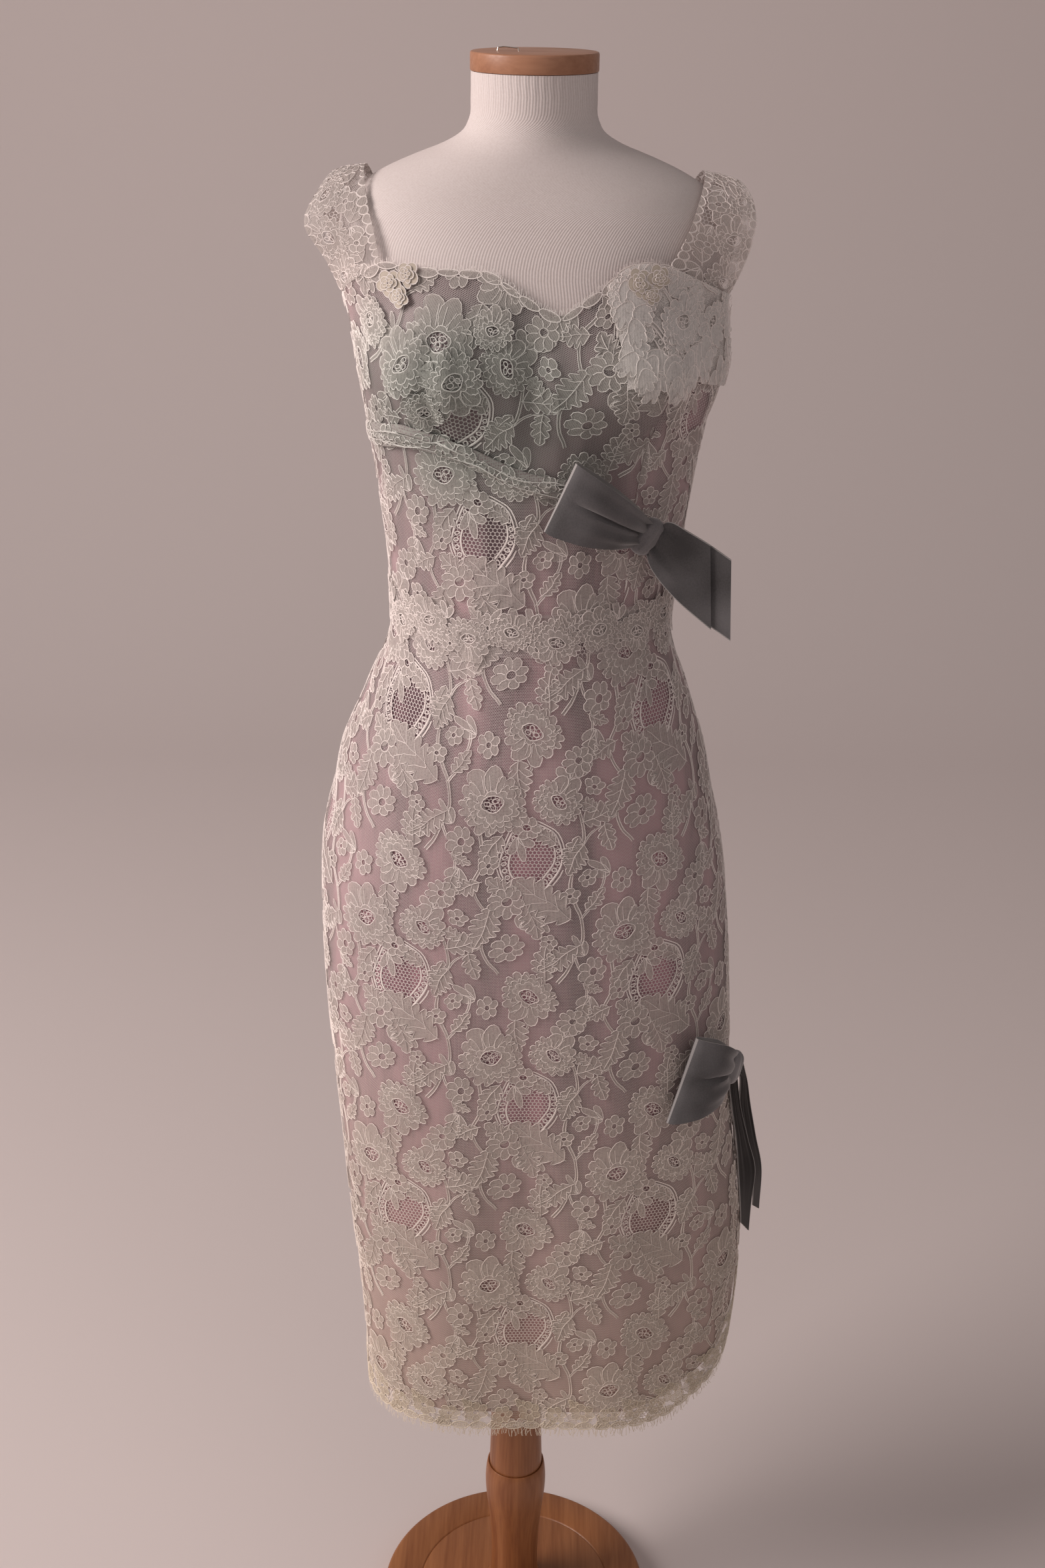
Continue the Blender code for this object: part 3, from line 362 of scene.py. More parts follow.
def makeSkin(rear):
    # ties distance around the dress to the angle, at every height
    middle = 180.0 if rear else 0.0
    heights = np.linspace(0.30, 1.385, 125)
    angles = middle + np.linspace(-90, 90, 361)
    spots = dressPoint(angles[None, :] + 0 * heights[:, None], heights[:, None] + 0 * angles, rear)
    steps = np.linalg.norm(np.diff(spots, axis=1), axis=2)
    around = np.concatenate([0 * heights[:, None], np.cumsum(steps, 1)], 1)
    around -= around[:, 180:181]
    reach = np.linspace(-0.42, 0.42, 421)
    table = np.stack([np.interp(reach, row, angles) for row in around])
    skin = {"rear": rear, "heights": heights, "angles": angles, "around": around}
    return skin | {"reach": reach, "table": table}


def lookUp(table, row, column):
    row = np.clip(row, 0, table.shape[0] - 1.001)
    column = np.clip(column, 0, table.shape[1] - 1.001)
    r, c = np.floor(row).astype(int), np.floor(column).astype(int)
    s, t = row - r, column - c
    if table.ndim == 3:
        s, t = s[..., None], t[..., None]
    low = table[r, c] * (1 - t) + table[r, c + 1] * t
    high = table[r + 1, c] * (1 - t) + table[r + 1, c + 1] * t
    return low * (1 - s) + high * s


def rowOf(skin, height):
    return (height - skin["heights"][0]) / (skin["heights"][1] - skin["heights"][0])


def angleAt(skin, around, height):
    column = (around - skin["reach"][0]) / (skin["reach"][1] - skin["reach"][0])
    return lookUp(skin["table"], rowOf(skin, height), column)


def aroundAt(skin, angle, height):
    column = (angle - skin["angles"][0]) / (skin["angles"][1] - skin["angles"][0])
    return lookUp(skin["around"], rowOf(skin, height), column)


skins = {"front": makeSkin(False), "back": makeSkin(True)}


def hemHeight(angle):
    return edgeAt(dress["hem"], angle)


def neckHeight(angle):
    angles, heights = np.array(dress["neck"], float).T
    return smooth(angle, angles, heights)


def seamHeight(angle):
    return edgeAt(dress["drapeSeam"], angle)


def waistHeight(angle):
    return dress["waist"] + 0 * angle


def backEdge(height, side):
    # the angle of a back panel's edge at the centre back: beside the zip above, at a seam below
    gap = np.where(height > dress["zipBottom"] - mm, dress["zipHalfGap"], 0.0002)
    return 180.0 + side * np.degrees(gap / 0.098)


panels = {
    # name: skin, first angle, last angle, lower edge, upper edge
    "skirt_front": ("front", -90, 90, hemHeight, waistHeight),
    "skirt_back_left": ("back", 90, -1, hemHeight, waistHeight),
    "skirt_back_right": ("back", 1, 270, hemHeight, waistHeight),
    "midriff_panel": ("front", -90, 46, waistHeight, seamHeight),
    "bust_panel": ("front", -90, 46, seamHeight, neckHeight),
    "bodice_side_left": ("front", 46, 90, waistHeight, neckHeight),
    "bodice_back_left": ("back", 90, -1, waistHeight, neckHeight),
    "bodice_back_right": ("back", 1, 270, waistHeight, neckHeight),
    "bodice_lining_front": ("front", -90, 90, waistHeight, neckHeight),
}


def spanAt(panel, height):
    # first and last angle of a panel at a height
    skin, first, last = panel[:3]
    start = backEdge(height, 1) if skin == "back" and first == 1 else first + 0.05 + 0 * height
    end = backEdge(height, -1) if skin == "back" and last == -1 else last - 0.05 + 0 * height
    return start, end


# ---- lace drawn on the flat, in millimetres

lace = {
    "repeatWidth": 108.0,  # between columns of the pattern
    "repeatHeight": 230.0,  # between repeats up a column, the next column half a repeat lower
    "netPitch": 1.35,  # between the net's meshes
    "coarsePitch": 3.3,  # inside the medallions and roses
    "netHole": 0.425,  # a mesh's radius over the pitch
    "rowSpacing": 1.1,  # between the rows of thread that fill a motif
    "outlineCord": 0.62,  # width of the cord round a petal
    "stemCord": 0.7,
    "veinCord": 0.42,
    "cordRise": 0.4,  # ridge of the cord above the motif
    "dome": 0.28,  # how far a petal's middle stands up
    "layer": 0.05,  # between one motif and the next over it
    "medallion": (6.0, 66.0, 24.0, 30.0, -8.0),  # middle, half width, half height, tilt
    "roses": (
        # middle, radius, turn, order, mirrored
        (-25.0, 112.0, 30.0, 14.0, 14, False), (27.0, 116.0, 22.0, -30.0, 11, True),
        (5.0, -60.0, 26.0, 168.0, 12, False),
    ),
    "petals": (
        # of a rose: angle, distance from the heart, length, width, lobes, ruffle
        (14, 0.30, 0.74, 0.56, 3, 0.06), (-20, 0.30, 0.70, 0.58, 3, 0.06), (48, 0.28, 0.56, 0.62, 5, 0.10),
        (-56, 0.28, 0.58, 0.66, 7, 0.12), (92, 0.24, 0.62, 0.78, 9, 0.13), (-98, 0.24, 0.60, 0.80, 9, 0.13),
        (136, 0.22, 0.64, 0.82, 9, 0.14), (-146, 0.22, 0.66, 0.84, 9, 0.14), (180, 0.18, 0.60, 0.80, 9, 0.15),
        (70, 0.22, 0.44, 0.56, 7, 0.13), (-78, 0.22, 0.44, 0.58, 7, 0.13), (122, 0.20, 0.46, 0.60, 7, 0.13),
        (-128, 0.20, 0.46, 0.60, 7, 0.13), (-176, 0.16, 0.46, 0.62, 7, 0.13),
    ),
}

clothwork, cordwork, ecruwork = 0, 1, 2  # kinds of lace face, by material


def halved(a, b, c, d):
    # four-cornered faces as triangles, all their first halves and then the second
    return np.concatenate([np.stack([a, b, c], 1), np.stack([a, c, d], 1)])


def newDrawing(warp=1.0):
    return {"points": [], "faces": [], "kinds": [], "orders": [], "covers": [], "count": 0, "warp": warp}


def addPart(drawing, points, faces, kind, order):
    drawing["points"].append(points)
    drawing["faces"].append(faces + drawing["count"])
    drawing["kinds"].append(np.full(len(faces), kind))
    drawing["orders"].append(np.full(len(faces), float(order)))
    drawing["count"] += len(points)


def moved(line, at, turn=0.0):
    c, s = math.cos(math.radians(turn)), math.sin(math.radians(turn))
    return np.stack([c * line[:, 0] - s * line[:, 1] + at[0], s * line[:, 0] + c * line[:, 1] + at[1]], 1)


def addFill(drawing, line, order, kind=clothwork, straight=False):
    # a closed outline filled toward its middle, a little domed, or straight across from edge to edge; it
    # hides what lies under it
    x, y = line[:, 0], line[:, 1]
    if np.sum(x * np.roll(y, -1) - y * np.roll(x, -1)) < 0:
        line = line[::-1]
    base = order * lace["layer"]
    n = len(line)
    if straight:
        # its root is the first point and its tip is half way round
        points = np.column_stack([line, np.full(n, base)])
        i = np.arange(n // 2 - 1)
        near, far = n - i - 1, (n - i) % n
        faces = np.concatenate([np.stack([i, i + 1, near], 1), np.stack([i[1:], near[1:], far[1:]], 1)])
    else:
        points = np.zeros((n + 1, 3))
        points[:n, :2], points[n, :2] = line, line.mean(0)
        points[:n, 2], points[n, 2] = base, base + lace["dome"]
        k = np.arange(n)
        faces = np.stack([k, (k + 1) % n, np.full(n, n)], 1)
    addPart(drawing, points, faces, kind, order)
    drawing["covers"].append((line, order))


def addCord(drawing, line, order, width, closed=False, ridge=True, lift=0.1):
    # a thick thread: two edges on the cloth, and a ridge between them unless it is a thin one
    base = order * lace["layer"] + lift
    along = np.roll(line, -1, 0) - np.roll(line, 1, 0) if closed else np.gradient(line, axis=0)
    along /= np.maximum(np.linalg.norm(along, axis=1, keepdims=True), 1e-9)
    side = np.stack([-along[:, 1], along[:, 0]], 1) * width / 2
    n = len(line)
    k = np.arange(n if closed else n - 1)
    j = (k + 1) % n
    if not ridge:
        points = np.zeros((2 * n, 3))
        points[:n, :2], points[n:, :2], points[:, 2] = line + side, line - side, base + 0.1
        addPart(drawing, points, halved(k + n, j + n, j, k), cordwork, order + 0.01)
        return
    points = np.zeros((3 * n, 3))
    points[:n, :2], points[n : 2 * n, :2], points[2 * n :, :2] = line + side, line, line - side
    points[:n, 2], points[n : 2 * n, 2], points[2 * n :, 2] = base - 0.1, base + lace["cordRise"], base - 0.1
    faces = np.concatenate([halved(k + n, j + n, j, k), halved(k + 2 * n, j + 2 * n, j + n, k + n)])
    addPart(drawing, points, faces, cordwork, order + 0.01)


def petalLine(length, width, lobes, ruffle, points):
    # from its root at the origin, up +Y, its outer edge scalloped
    a = np.linspace(0, 2 * math.pi, points, endpoint=False)
    up = (1 - np.cos(a)) / 2
    wave = 1 + 2 * ruffle * (np.abs(np.cos(lobes * (a - math.pi) / 2)) ** 0.6 - 0.6) * up
    return np.stack([width / 2 * np.sin(a) * (0.66 + 0.46 * up) * wave, length * up * wave], 1)


def leafLine(length, width, teeth, bite=0.47, steps=5):
    # a leaf along +Y, its edge in rounded lobes
    t = np.arange(teeth * steps) / (teeth * steps)
    body = np.sin(math.pi * t**0.85) ** 0.7 * (1 - 0.1 * t)
    lobe = 1 - bite * (1 - np.sin(math.pi * (t * teeth % 1.0) ** 1.5) ** 0.6)
    w = width / 2 * body * lobe
    right = np.stack([w, t * length], 1)
    left = np.stack([-w[:0:-1], t[:0:-1] * length], 1)
    return np.concatenate([right, [[0, length]], left])


def ovalLine(rx, ry, points, ruffle=0.0, lobes=8):
    a = np.linspace(0, 2 * math.pi, points, endpoint=False)
    r = 1 + ruffle * (2 * np.abs(np.cos(lobes * a / 2)) ** 0.7 - 1)
    return np.stack([rx * r * np.cos(a), ry * r * np.sin(a)], 1)


def curveThrough(spots, step):
    # a smooth line through a few spots
    spots = np.array(spots, float)
    knots = np.concatenate([[0], np.cumsum(np.linalg.norm(np.diff(spots, axis=0), axis=1))])
    at = np.linspace(0, knots[-1], max(3, int(knots[-1] / step) + 1))
    return np.stack([smooth(at, knots, spots[:, k]) for k in range(spots.shape[1])], -1)


def addPetal(drawing, at, turn, length, width, order, lobes, ruffle, points):
    line = moved(petalLine(length, width, lobes, ruffle, points), at, turn)
    addFill(drawing, line, order)
    addCord(drawing, line, order, lace["outlineCord"], closed=True)


def addLeaf(drawing, at, turn, length, width, order, teeth, veins):
    line = moved(leafLine(length, width, teeth), at, turn)
    addFill(drawing, line, order, straight=True)
    addCord(drawing, line, order, lace["outlineCord"], closed=True)
    bend = width * 0.05
    rib = np.array([(0, -2.0), (bend, length * 0.35), (-bend * 0.5, length * 0.7), (0, length * 0.93)])
    addCord(drawing, moved(curveThrough(rib, 5), at, turn), order, lace["veinCord"] * 1.2, lift=0.25)
    for k in range(veins):
        y = length * (0.22 + 0.6 * k / max(veins, 1))
        for side in (-1, 1):
            reach = width * 0.36 * math.sin(math.pi * min(y / length + 0.1, 0.95)) ** 0.7
            out = side * reach
            vein = np.array([(0, y), (out * 0.55, y + reach * 0.55), (out, y + reach * 0.8)])
            addCord(drawing, moved(vein, at, turn), order, lace["veinCord"], ridge=False, lift=0.25)


def addRing(drawing, outer, inner, order, kind=clothwork):
    # a filled band round an open middle; it hides what lies under it and under its middle
    n = len(outer)
    base = order * lace["layer"]
    points = np.zeros((2 * n, 3))
    points[:n, :2], points[n:, :2], points[:n, 2], points[n:, 2] = outer, inner, base, base + lace["dome"]
    k = np.arange(n)
    j = (k + 1) % n
    addPart(drawing, points, halved(k, j, j + n, k + n), kind, order)
    drawing["covers"].append((outer, order))


def addRosette(drawing, at, radius, order, petals=5, turn=0.0, kind=clothwork):
    # a small round flower: scalloped petals, parted by creases, round an open ring
    n = petals * 4
    rim = moved(ovalLine(radius, radius * 0.86, n, 0.15, petals), at, turn)
    hole = moved(ovalLine(radius * 0.32, radius * 0.27, n), at, turn)
    addRing(drawing, rim, hole, order, kind)
    addCord(drawing, rim, order + 0.1, lace["outlineCord"], closed=True)
    addCord(drawing, hole[::2], order + 0.3, lace["outlineCord"] * 1.4, closed=True, ridge=False)
    crease = np.array([(0, 0.36), (0.05, 0.58), (0, 0.8)]) * radius
    for k in range(petals):
        line = moved(crease, at, turn + (k + 0.5) * 360 / petals - 90)
        addCord(drawing, line, order + 0.2, lace["outlineCord"], ridge=False, lift=0.3)


def addRose(drawing, at, radius, turn, order, flip=False):
    # a rose seen half from the side: upright petals, a ruffled collar, a netted heart
    for rank, (angle, off, length, width, lobes, ruffle) in enumerate(lace["petals"]):
        a = turn - angle if flip else turn + angle
        out = math.radians(a + 90)
        root = (at[0] + math.cos(out) * radius * off, at[1] + math.sin(out) * radius * off)
        points = 14 if lobes < 4 else 20 if lobes < 6 else 28 if lobes < 8 else 36
        size = (radius * length, radius * width)
        addPetal(drawing, root, a, *size, order + 0.05 * rank, lobes, ruffle, points)
        for lean in (-0.14, 0.12):
            crease = np.array([(lean * 0.4, 0.1), (lean, 0.4), (lean * 1.5, 0.68)]) * radius * length
            line = moved(crease, root, a)
            addCord(drawing, line, order + 0.05 * rank, lace["veinCord"], ridge=False, lift=0.3)
    # a ruffled collar round the heart, which is left open
    c, s = math.cos(math.radians(turn + 90)), math.sin(math.radians(turn + 90))
    low = (at[0] - c * radius * 0.06, at[1] - s * radius * 0.06)
    collar = moved(ovalLine(radius * 0.47, radius * 0.40, 36, 0.14, 9), low, turn)
    heart = moved(ovalLine(radius * 0.29, radius * 0.22, 36, 0.08, 4), at, turn)
    addRing(drawing, collar, heart, order + 0.8)
    addCord(drawing, collar, order + 0.85, lace["outlineCord"], closed=True, ridge=False)
    addCord(drawing, heart[::2], order + 0.9, lace["outlineCord"] * 1.2, closed=True, lift=0.3)
    for angle, reach in ((20, 0.13), (165, 0.12), (275, 0.10)):
        out = math.radians(angle + turn)
        spot = (at[0] + math.cos(out) * radius * reach, at[1] + math.sin(out) * radius * reach)
        loop = moved(ovalLine(radius * 0.09, radius * 0.07, 7), spot, angle)
        addCord(drawing, loop, order + 0.95, 0.6, closed=True, ridge=False)


def addMedallion(drawing, at, rx, ry, turn):
    # an oval frame of cords and eyelets round the coarse net
    for grow, width in ((2.6, 1.0), (0.0, 1.5), (-6.5, 1.2)):
        rim = moved(ovalLine(rx + grow, ry + grow, 42), at, turn)
        addCord(drawing, rim, 0.5, width, closed=True, ridge=grow == 0.0)
    count = int(math.pi * (rx + ry) / 6.2)
    for k in range(count):
        a = 2 * math.pi * k / count
        spot = moved(np.array([[(rx - 3.2) * math.cos(a), (ry - 3.2) * math.sin(a)]]), at, turn)[0]
        eyelet = moved(ovalLine(1.9, 1.6, 6), spot, turn + math.degrees(a))
        addCord(drawing, eyelet, 0.5, 0.9, closed=True, ridge=False)


def addStem(drawing, spots, gap, order=1.0):
    # two cords side by side with a narrow filled strip between them
    line = curveThrough(spots, 4.5)
    along = np.gradient(line, axis=0)
    along /= np.linalg.norm(along, axis=1, keepdims=True)
    side = np.stack([-along[:, 1], along[:, 0]], 1)
    for s in (-1, 1):
        addCord(drawing, line + side * s * gap / 2, order, lace["stemCord"], ridge=gap > 2)
    n = len(line)
    points = np.zeros((2 * n, 3))
    points[:, :2] = np.concatenate([line + side * gap / 2, line - side * gap / 2])
    points[:, 2] = order * lace["layer"]
    k = np.arange(n - 1)
    addPart(drawing, points, halved(k + n, k + n + 1, k + 1, k), clothwork, order)


def addSprig(drawing, at, turn, size, order=2.0):
    # three narrow buds on one short stalk
    for angle, reach in ((-42, 14), (-4, 19), (38, 13)):
        line = moved(petalLine(reach * size, 6.8 * size, lobes=1, ruffle=0, points=11), at, turn + angle)
        addFill(drawing, line, order)
        addCord(drawing, line, order, lace["outlineCord"], closed=True, ridge=False)


def drawRepeat():
    # one repeat of the lace, round the middle of its column
    d = newDrawing()
    x, y, rx, ry, tilt = lace["medallion"]
    addMedallion(d, (x, y), rx, ry, tilt)
    stems = (
        ((36, 134), (43, 108), (45, 78), (38, 44), (46, 12), (44, -22), (30, -44)),
        ((-37, 94), (-33, 66), (-39, 38), (-30, 12), (-33, -14), (-18, -40)),
        ((46, 12), (57, 26), (66, 44), (64, 60)), ((-33, -14), (-48, -22), (-62, -40)),
        ((44, -22), (52, -44), (50, -70)), ((5, -84), (0, -100), (-14, -112)),
    )
    for rank, spots in enumerate(stems):
        addStem(d, spots, gap=2.2 if rank < 2 else 1.5)
    leaves = (
        # place, turn, length, width, order, teeth
        ((36, 14), 52, 58, 42, 9, 7), ((-26, 22), 160, 42, 30, 6, 6), ((-34, 44), 112, 26, 20, 5, 4),
        ((44, -12), 128, 40, 27, 6, 6), ((46, 98), -74, 34, 24, 5, 5), ((-60, -38), 150, 32, 22, 6, 6),
        ((-44, -20), 200, 26, 17, 7, 4), ((20, -44), 4, 36, 25, 6, 5), ((50, 20), -44, 26, 17, 7, 4),
        ((2, 28), -166, 38, 28, 8, 6), ((50, -66), 170, 30, 20, 7, 5), ((50, -48), -118, 20, 13, 7, 4),
        ((-6, -84), -170, 34, 24, 8, 5), ((-52, -8), 60, 22, 15, 7, 4), ((-20, 84), 148, 30, 22, 6, 5),
        ((-4, 28), 52, 34, 26, 7, 6), ((34, 60), -14, 30, 20, 5, 5), ((24, 80), 60, 28, 19, 6, 5),
    )
    for at, turn, length, width, order, teeth in leaves:
        addLeaf(d, at, turn, length * 0.94, width * 0.88, order, teeth, veins=3 if length > 30 else 2)
    for x, y, radius, turn, order, flip in lace["roses"]:
        addRose(d, (x, y), radius, turn, order, flip)
    rosettes = (
        # place, radius, order, turn, petals
        ((0, 92), 10, 13, 0, 7), ((-12, -16), 13, 8, 20, 8), ((-52, 80), 11.5, 8, 60, 7),
        ((53, 48), 7.5, 8, 30, 5), ((-14, 26), 14, 10, 35, 9), ((-30, -70), 10, 9, 80, 6),
        ((-54, 12), 8, 8, 5, 5), ((40, -82), 12, 9, 140, 8), ((20, -8), 7, 7, 0, 5),
        ((-27, 60), 9, 8, 50, 6), ((38, 34), 7, 8, 20, 5),
    )
    for at, radius, order, turn, petals in rosettes:
        addRosette(d, at, radius, order, petals, turn)
    sprigs = (
        ((36, 134), 8, 1.1), ((-50, 56), 165, 1.1), ((-60, 94), 30, 1.0), ((-40, -62), 60, 1.1),
        ((-6, 84), -160, 1.2), ((-4, 2), -30, 1.0), ((14, 12), 170, 0.9),
    )
    for at, turn, size in sprigs:
        addSprig(d, at, turn, size)
    plain = len(d["covers"])
    # its motifs lie over those of the repeats round it too
    wide, tall = lace["repeatWidth"], lace["repeatHeight"]
    for across, up in ((0, 1), (0, -1), (1, 0.5), (1, -0.5), (-1, 0.5), (-1, -0.5)):
        away = np.array([across * wide, up * tall])
        d["covers"] += [(line + away, order) for line, order in d["covers"][:plain]]
    return merged(d)


def insideLine(x, y, line):
    # which points lie within a closed outline
    inside = np.zeros(len(x), bool)
    for (ax, ay), (bx, by) in zip(line, np.roll(line, -1, 0)):
        if ay == by:
            continue
        crosses = (ay > y) != (by > y)
        inside ^= crosses & (x < (bx - ax) * (y - ay) / (by - ay) + ax)
    return inside


def merged(drawing):
    # the drawing as one set of faces, without what higher motifs hide
    points, faces = np.concatenate(drawing["points"]), np.concatenate(drawing["faces"])
    kinds, orders = np.concatenate(drawing["kinds"]), np.concatenate(drawing["orders"])
    corners = points[faces][:, :, :2]
    middle = corners.mean(1)
    keep = np.ones(len(faces), bool)
    for line, order in drawing["covers"]:
        low, high = line.min(0), line.max(0)
        near = keep & (orders < order - 0.02) & (middle > low).all(1) & (middle < high).all(1)
        chosen = np.nonzero(near)[0]
        if not len(chosen):
            continue
        hidden = insideLine(middle[chosen, 0], middle[chosen, 1], line)
        solid = kinds[chosen] == clothwork
        for k in range(3):
            corner = corners[chosen, k]
            hidden &= insideLine(corner[:, 0], corner[:, 1], line) | ~solid
        keep[chosen[hidden]] = False
    # hand-guided machines leave nothing quite even
    x, y = points[:, 0], points[:, 1]
    aside = 1.5 * np.sin(y / 13 + 1) + 0.8 * np.sin(x / 5.3 + y / 7.1)
    upward = 1.5 * np.sin(x / 12 + 2) + 0.8 * np.sin(y / 4.9 - x / 6.3)
    points[:, :2] += np.stack([aside, upward], 1) * drawing["warp"]
    return {"points": points, "faces": faces[keep], "kinds": kinds[keep]}


# ---- finishes

def makeLaceNet():
    # cotton and rayon net: hexagonal meshes of fine off-white thread, see-through, with coarse round meshes
    # inside the medallions and the hearts of the roses
    made, tree, shader = newMaterial("cottonRayonLaceNet")
    flat = addNode(tree, "UVMap", uv_map="flat")
    where = addNode(tree, "SeparateXYZ", {0: flat}).node
    width, height = lace["repeatWidth"] * mm, lace["repeatHeight"] * mm
    coarse = None
    hearts = [(x, y, radius * 0.36, radius * 0.30, turn) for x, y, radius, turn, *_ in lace["roses"]]
    for x, y, rx, ry, tilt in [lace["medallion"]] + hearts:
        # the middle's column is the nearest one, so each spot is tested in its own column's frame
        u = addNode(tree, "Math", {0: where.outputs[0], 1: x * mm}, operation="SUBTRACT")
        c = addNode(tree, "Math", {0: u, 1: width}, operation="DIVIDE")
        c = addNode(tree, "Math", {0: c}, operation="ROUND")
        left = addNode(tree, "Math", {0: c, 1: -width, 2: u}, operation="MULTIPLY_ADD")
        odd = addNode(tree, "Math", {0: c, 1: 2.0}, operation="FLOORED_MODULO")
        v = addNode(tree, "Math", {0: where.outputs[1], 1: y * mm}, operation="SUBTRACT")
        v = addNode(tree, "Math", {0: odd, 1: -height / 2, 2: v}, operation="MULTIPLY_ADD")
        up = addNode(tree, "Math", {0: v, 1: height / 2, 2: -height / 2}, operation="WRAP")
        spot = addNode(tree, "CombineXYZ", {0: left, 1: up})
        turn = -math.radians(tilt)
        turned = addNode(tree, "VectorRotate", {"Vector": spot, "Angle": turn}, rotation_type="Z_AXIS")
        size = (1 / (rx * mm), 1 / (ry * mm), 0)
        scaled = addNode(tree, "VectorMath", {0: turned, 1: size}, operation="MULTIPLY")
        away = addNode(tree, "VectorMath", {0: scaled}, operation="LENGTH")
        near = addNode(tree, "Math", {0: away, 1: 1.0}, operation="LESS_THAN")
        coarse = addNode(tree, "Math", {0: coarse, 1: near}, operation="MAXIMUM") if coarse else near
    threads = []
    # the fine net's real pitch is 1.05 mm; it is drawn a little coarser so that its meshes show
    for pitch in (lace["netPitch"], lace["coarsePitch"]):
        step = (1000 / pitch, 1000 / pitch / math.sqrt(3), 0)
        cells = addNode(tree, "VectorMath", {0: flat, 1: step}, operation="MULTIPLY")
        distances = []
        for shift in (0.0, 0.5):
            cell = addNode(tree, "VectorMath", {0: cells, 1: (shift, shift, 0)}, operation="ADD")
            cell = addNode(tree, "VectorMath", {0: cell}, operation="FRACTION")
            cell = addNode(tree, "VectorMath", {0: cell, 1: (0.5, 0.5, 0)}, operation="SUBTRACT")
            cell = addNode(tree, "VectorMath", {0: cell, 1: (1, math.sqrt(3), 0)}, operation="MULTIPLY")
            distances.append(addNode(tree, "VectorMath", {0: cell}, operation="LENGTH"))
        nearest = addNode(tree, "Math", {0: distances[0], 1: distances[1]}, operation="MINIMUM")
        threads.append(addNode(tree, "Math", {0: nearest, 1: lace["netHole"]}, operation="GREATER_THAN"))
    net = addNode(tree, "Mix", {"Factor": coarse, "A": threads[0], "B": threads[1]}, data_type="FLOAT")
    color = laceColor(tree, "#ddd4d1", "#aeb3ad")
    setInputs(shader, {"Alpha": net, "Base Color": color, "Roughness": 0.85, "Specular IOR Level": 0.25})
    return made


def laceColor(tree, color, sage):
    # warm off-white, turning to a dull pale sage round one cup, with soft patches
    place = addNode(tree, "TexCoord", give="Object")
    spot = addNode(tree, "VectorMath", {0: place, 1: (-0.035, -0.12, 1.262)}, operation="SUBTRACT")
    spot = addNode(tree, "VectorMath", {0: spot, 1: (0.8, 0.8, 1.1)}, operation="MULTIPLY")
    away = addNode(tree, "VectorMath", {0: spot}, operation="LENGTH")
    near = addNode(
        tree, "MapRange", {"Value": away, "From Min": 0.05, "From Max": 0.13, "To Min": 1.0, "To Max": 0.0}
    )
    mixed = addNode(tree, "Mix", {"Factor": near, "A": linear(color), "B": linear(sage)}, data_type="RGBA")
    # it yellows toward the hem
    up = addNode(tree, "SeparateXYZ", {0: place}, give="Z")
    old = addNode(
        tree, "MapRange", {"Value": up, "From Min": 0.36, "From Max": 0.85, "To Min": 0.45, "To Max": 0.0}
    )
    mixed = addNode(tree, "Mix", {"Factor": old, "A": mixed, "B": linear("#e3d2b8")}, data_type="RGBA")
    patches = addNode(tree, "TexNoise", {"Vector": place, "Scale": 9.0, "Detail": 3.0, "Roughness": 0.6})
    bright = addNode(
        tree, "MapRange", {"Value": patches, "From Min": 0.3, "From Max": 0.7, "To Min": 0.88, "To Max": 1.08}
    )
    # painted light and shade on the straps: the wearer's right one, toward the lamp, is darkened, and the
    # left one, in shade, is lightened
    side = addNode(tree, "SeparateXYZ", {0: place}, give="X")
    strapLightBalance = addNode(
        tree, "MapRange", {"Value": side, "From Min": -0.08, "From Max": 0.08, "To Min": 0.81, "To Max": 1.16}
    )
    strapPaintedLight = addNode(
        tree, "MapRange", {"Value": up, "From Min": 1.34, "From Max": 1.4, "To Min": 1.0, "To Max": strapLightBalance}
    )
    bright = addNode(tree, "Math", {0: bright, 1: strapPaintedLight}, operation="MULTIPLY")
    return addNode(tree, "VectorMath", {0: mixed, "Scale": bright}, operation="SCALE")


def makeClothwork(name, color, sage):
    # close rows of soft rayon thread that fill the petals and leaves: matt, off-white, half see-through
    made, tree, shader = newMaterial(name)
    flat = addNode(tree, "UVMap", uv_map="flat")
    # real rows of thread are 0.5 mm apart; they are drawn further apart so that they show
    weave = {"Vector": flat, "Scale": waveScale / lace["rowSpacing"], "Distortion": 0.6, "Detail": 1.0}
    rows = addNode(tree, "TexWave", weave, bands_direction="X", give="Fac")
    fine = addNode(tree, "TexNoise", {"Vector": flat, "Scale": 420.0, "Detail": 2.0})
    cover = addNode(tree, "Math", {0: rows, 1: fine}, operation="MULTIPLY")
    cover = addNode(
        tree, "MapRange", {"Value": cover, "From Min": 0.08, "From Max": 0.4, "To Min": 0.34, "To Max": 0.82}
    )
    bump = addNode(tree, "Bump", {"Height": rows, "Strength": 0.25, "Distance": 0.0002})
    setInputs(shader, {"Alpha": cover, "Base Color": laceColor(tree, color, sage), "Normal": bump})
    setInputs(shader, {"Roughness": 0.8, "Specular IOR Level": 0.25})
    return made


def makeSoftNet():
    # two or three layers of the net gathered together: a milky, cloudy white that lets a little show through,
    # painted lighter still as painted light for the shaded side where it lies
    made, tree, shader = newMaterial("gatheredCottonNet")
    place = addNode(tree, "TexCoord", give="Object")
    cloud = addNode(tree, "TexNoise", {"Vector": place, "Scale": 55.0, "Detail": 4.0, "Roughness": 0.6})
    mesh = addNode(tree, "TexNoise", {"Vector": place, "Scale": 1500.0, "Detail": 1.0})
    both = addNode(tree, "Math", {0: cloud, 1: 0.7, 2: mesh}, operation="MULTIPLY_ADD")
    cover = addNode(
        tree, "MapRange", {"Value": both, "From Min": 0.65, "From Max": 1.0, "To Min": 0.35, "To Max": 0.97}
    )
    color = laceColor(tree, "#f6f1ed", "#d5d7d2")
    setInputs(shader, {"Alpha": cover, "Base Color": color, "Roughness": 0.9})
    return made


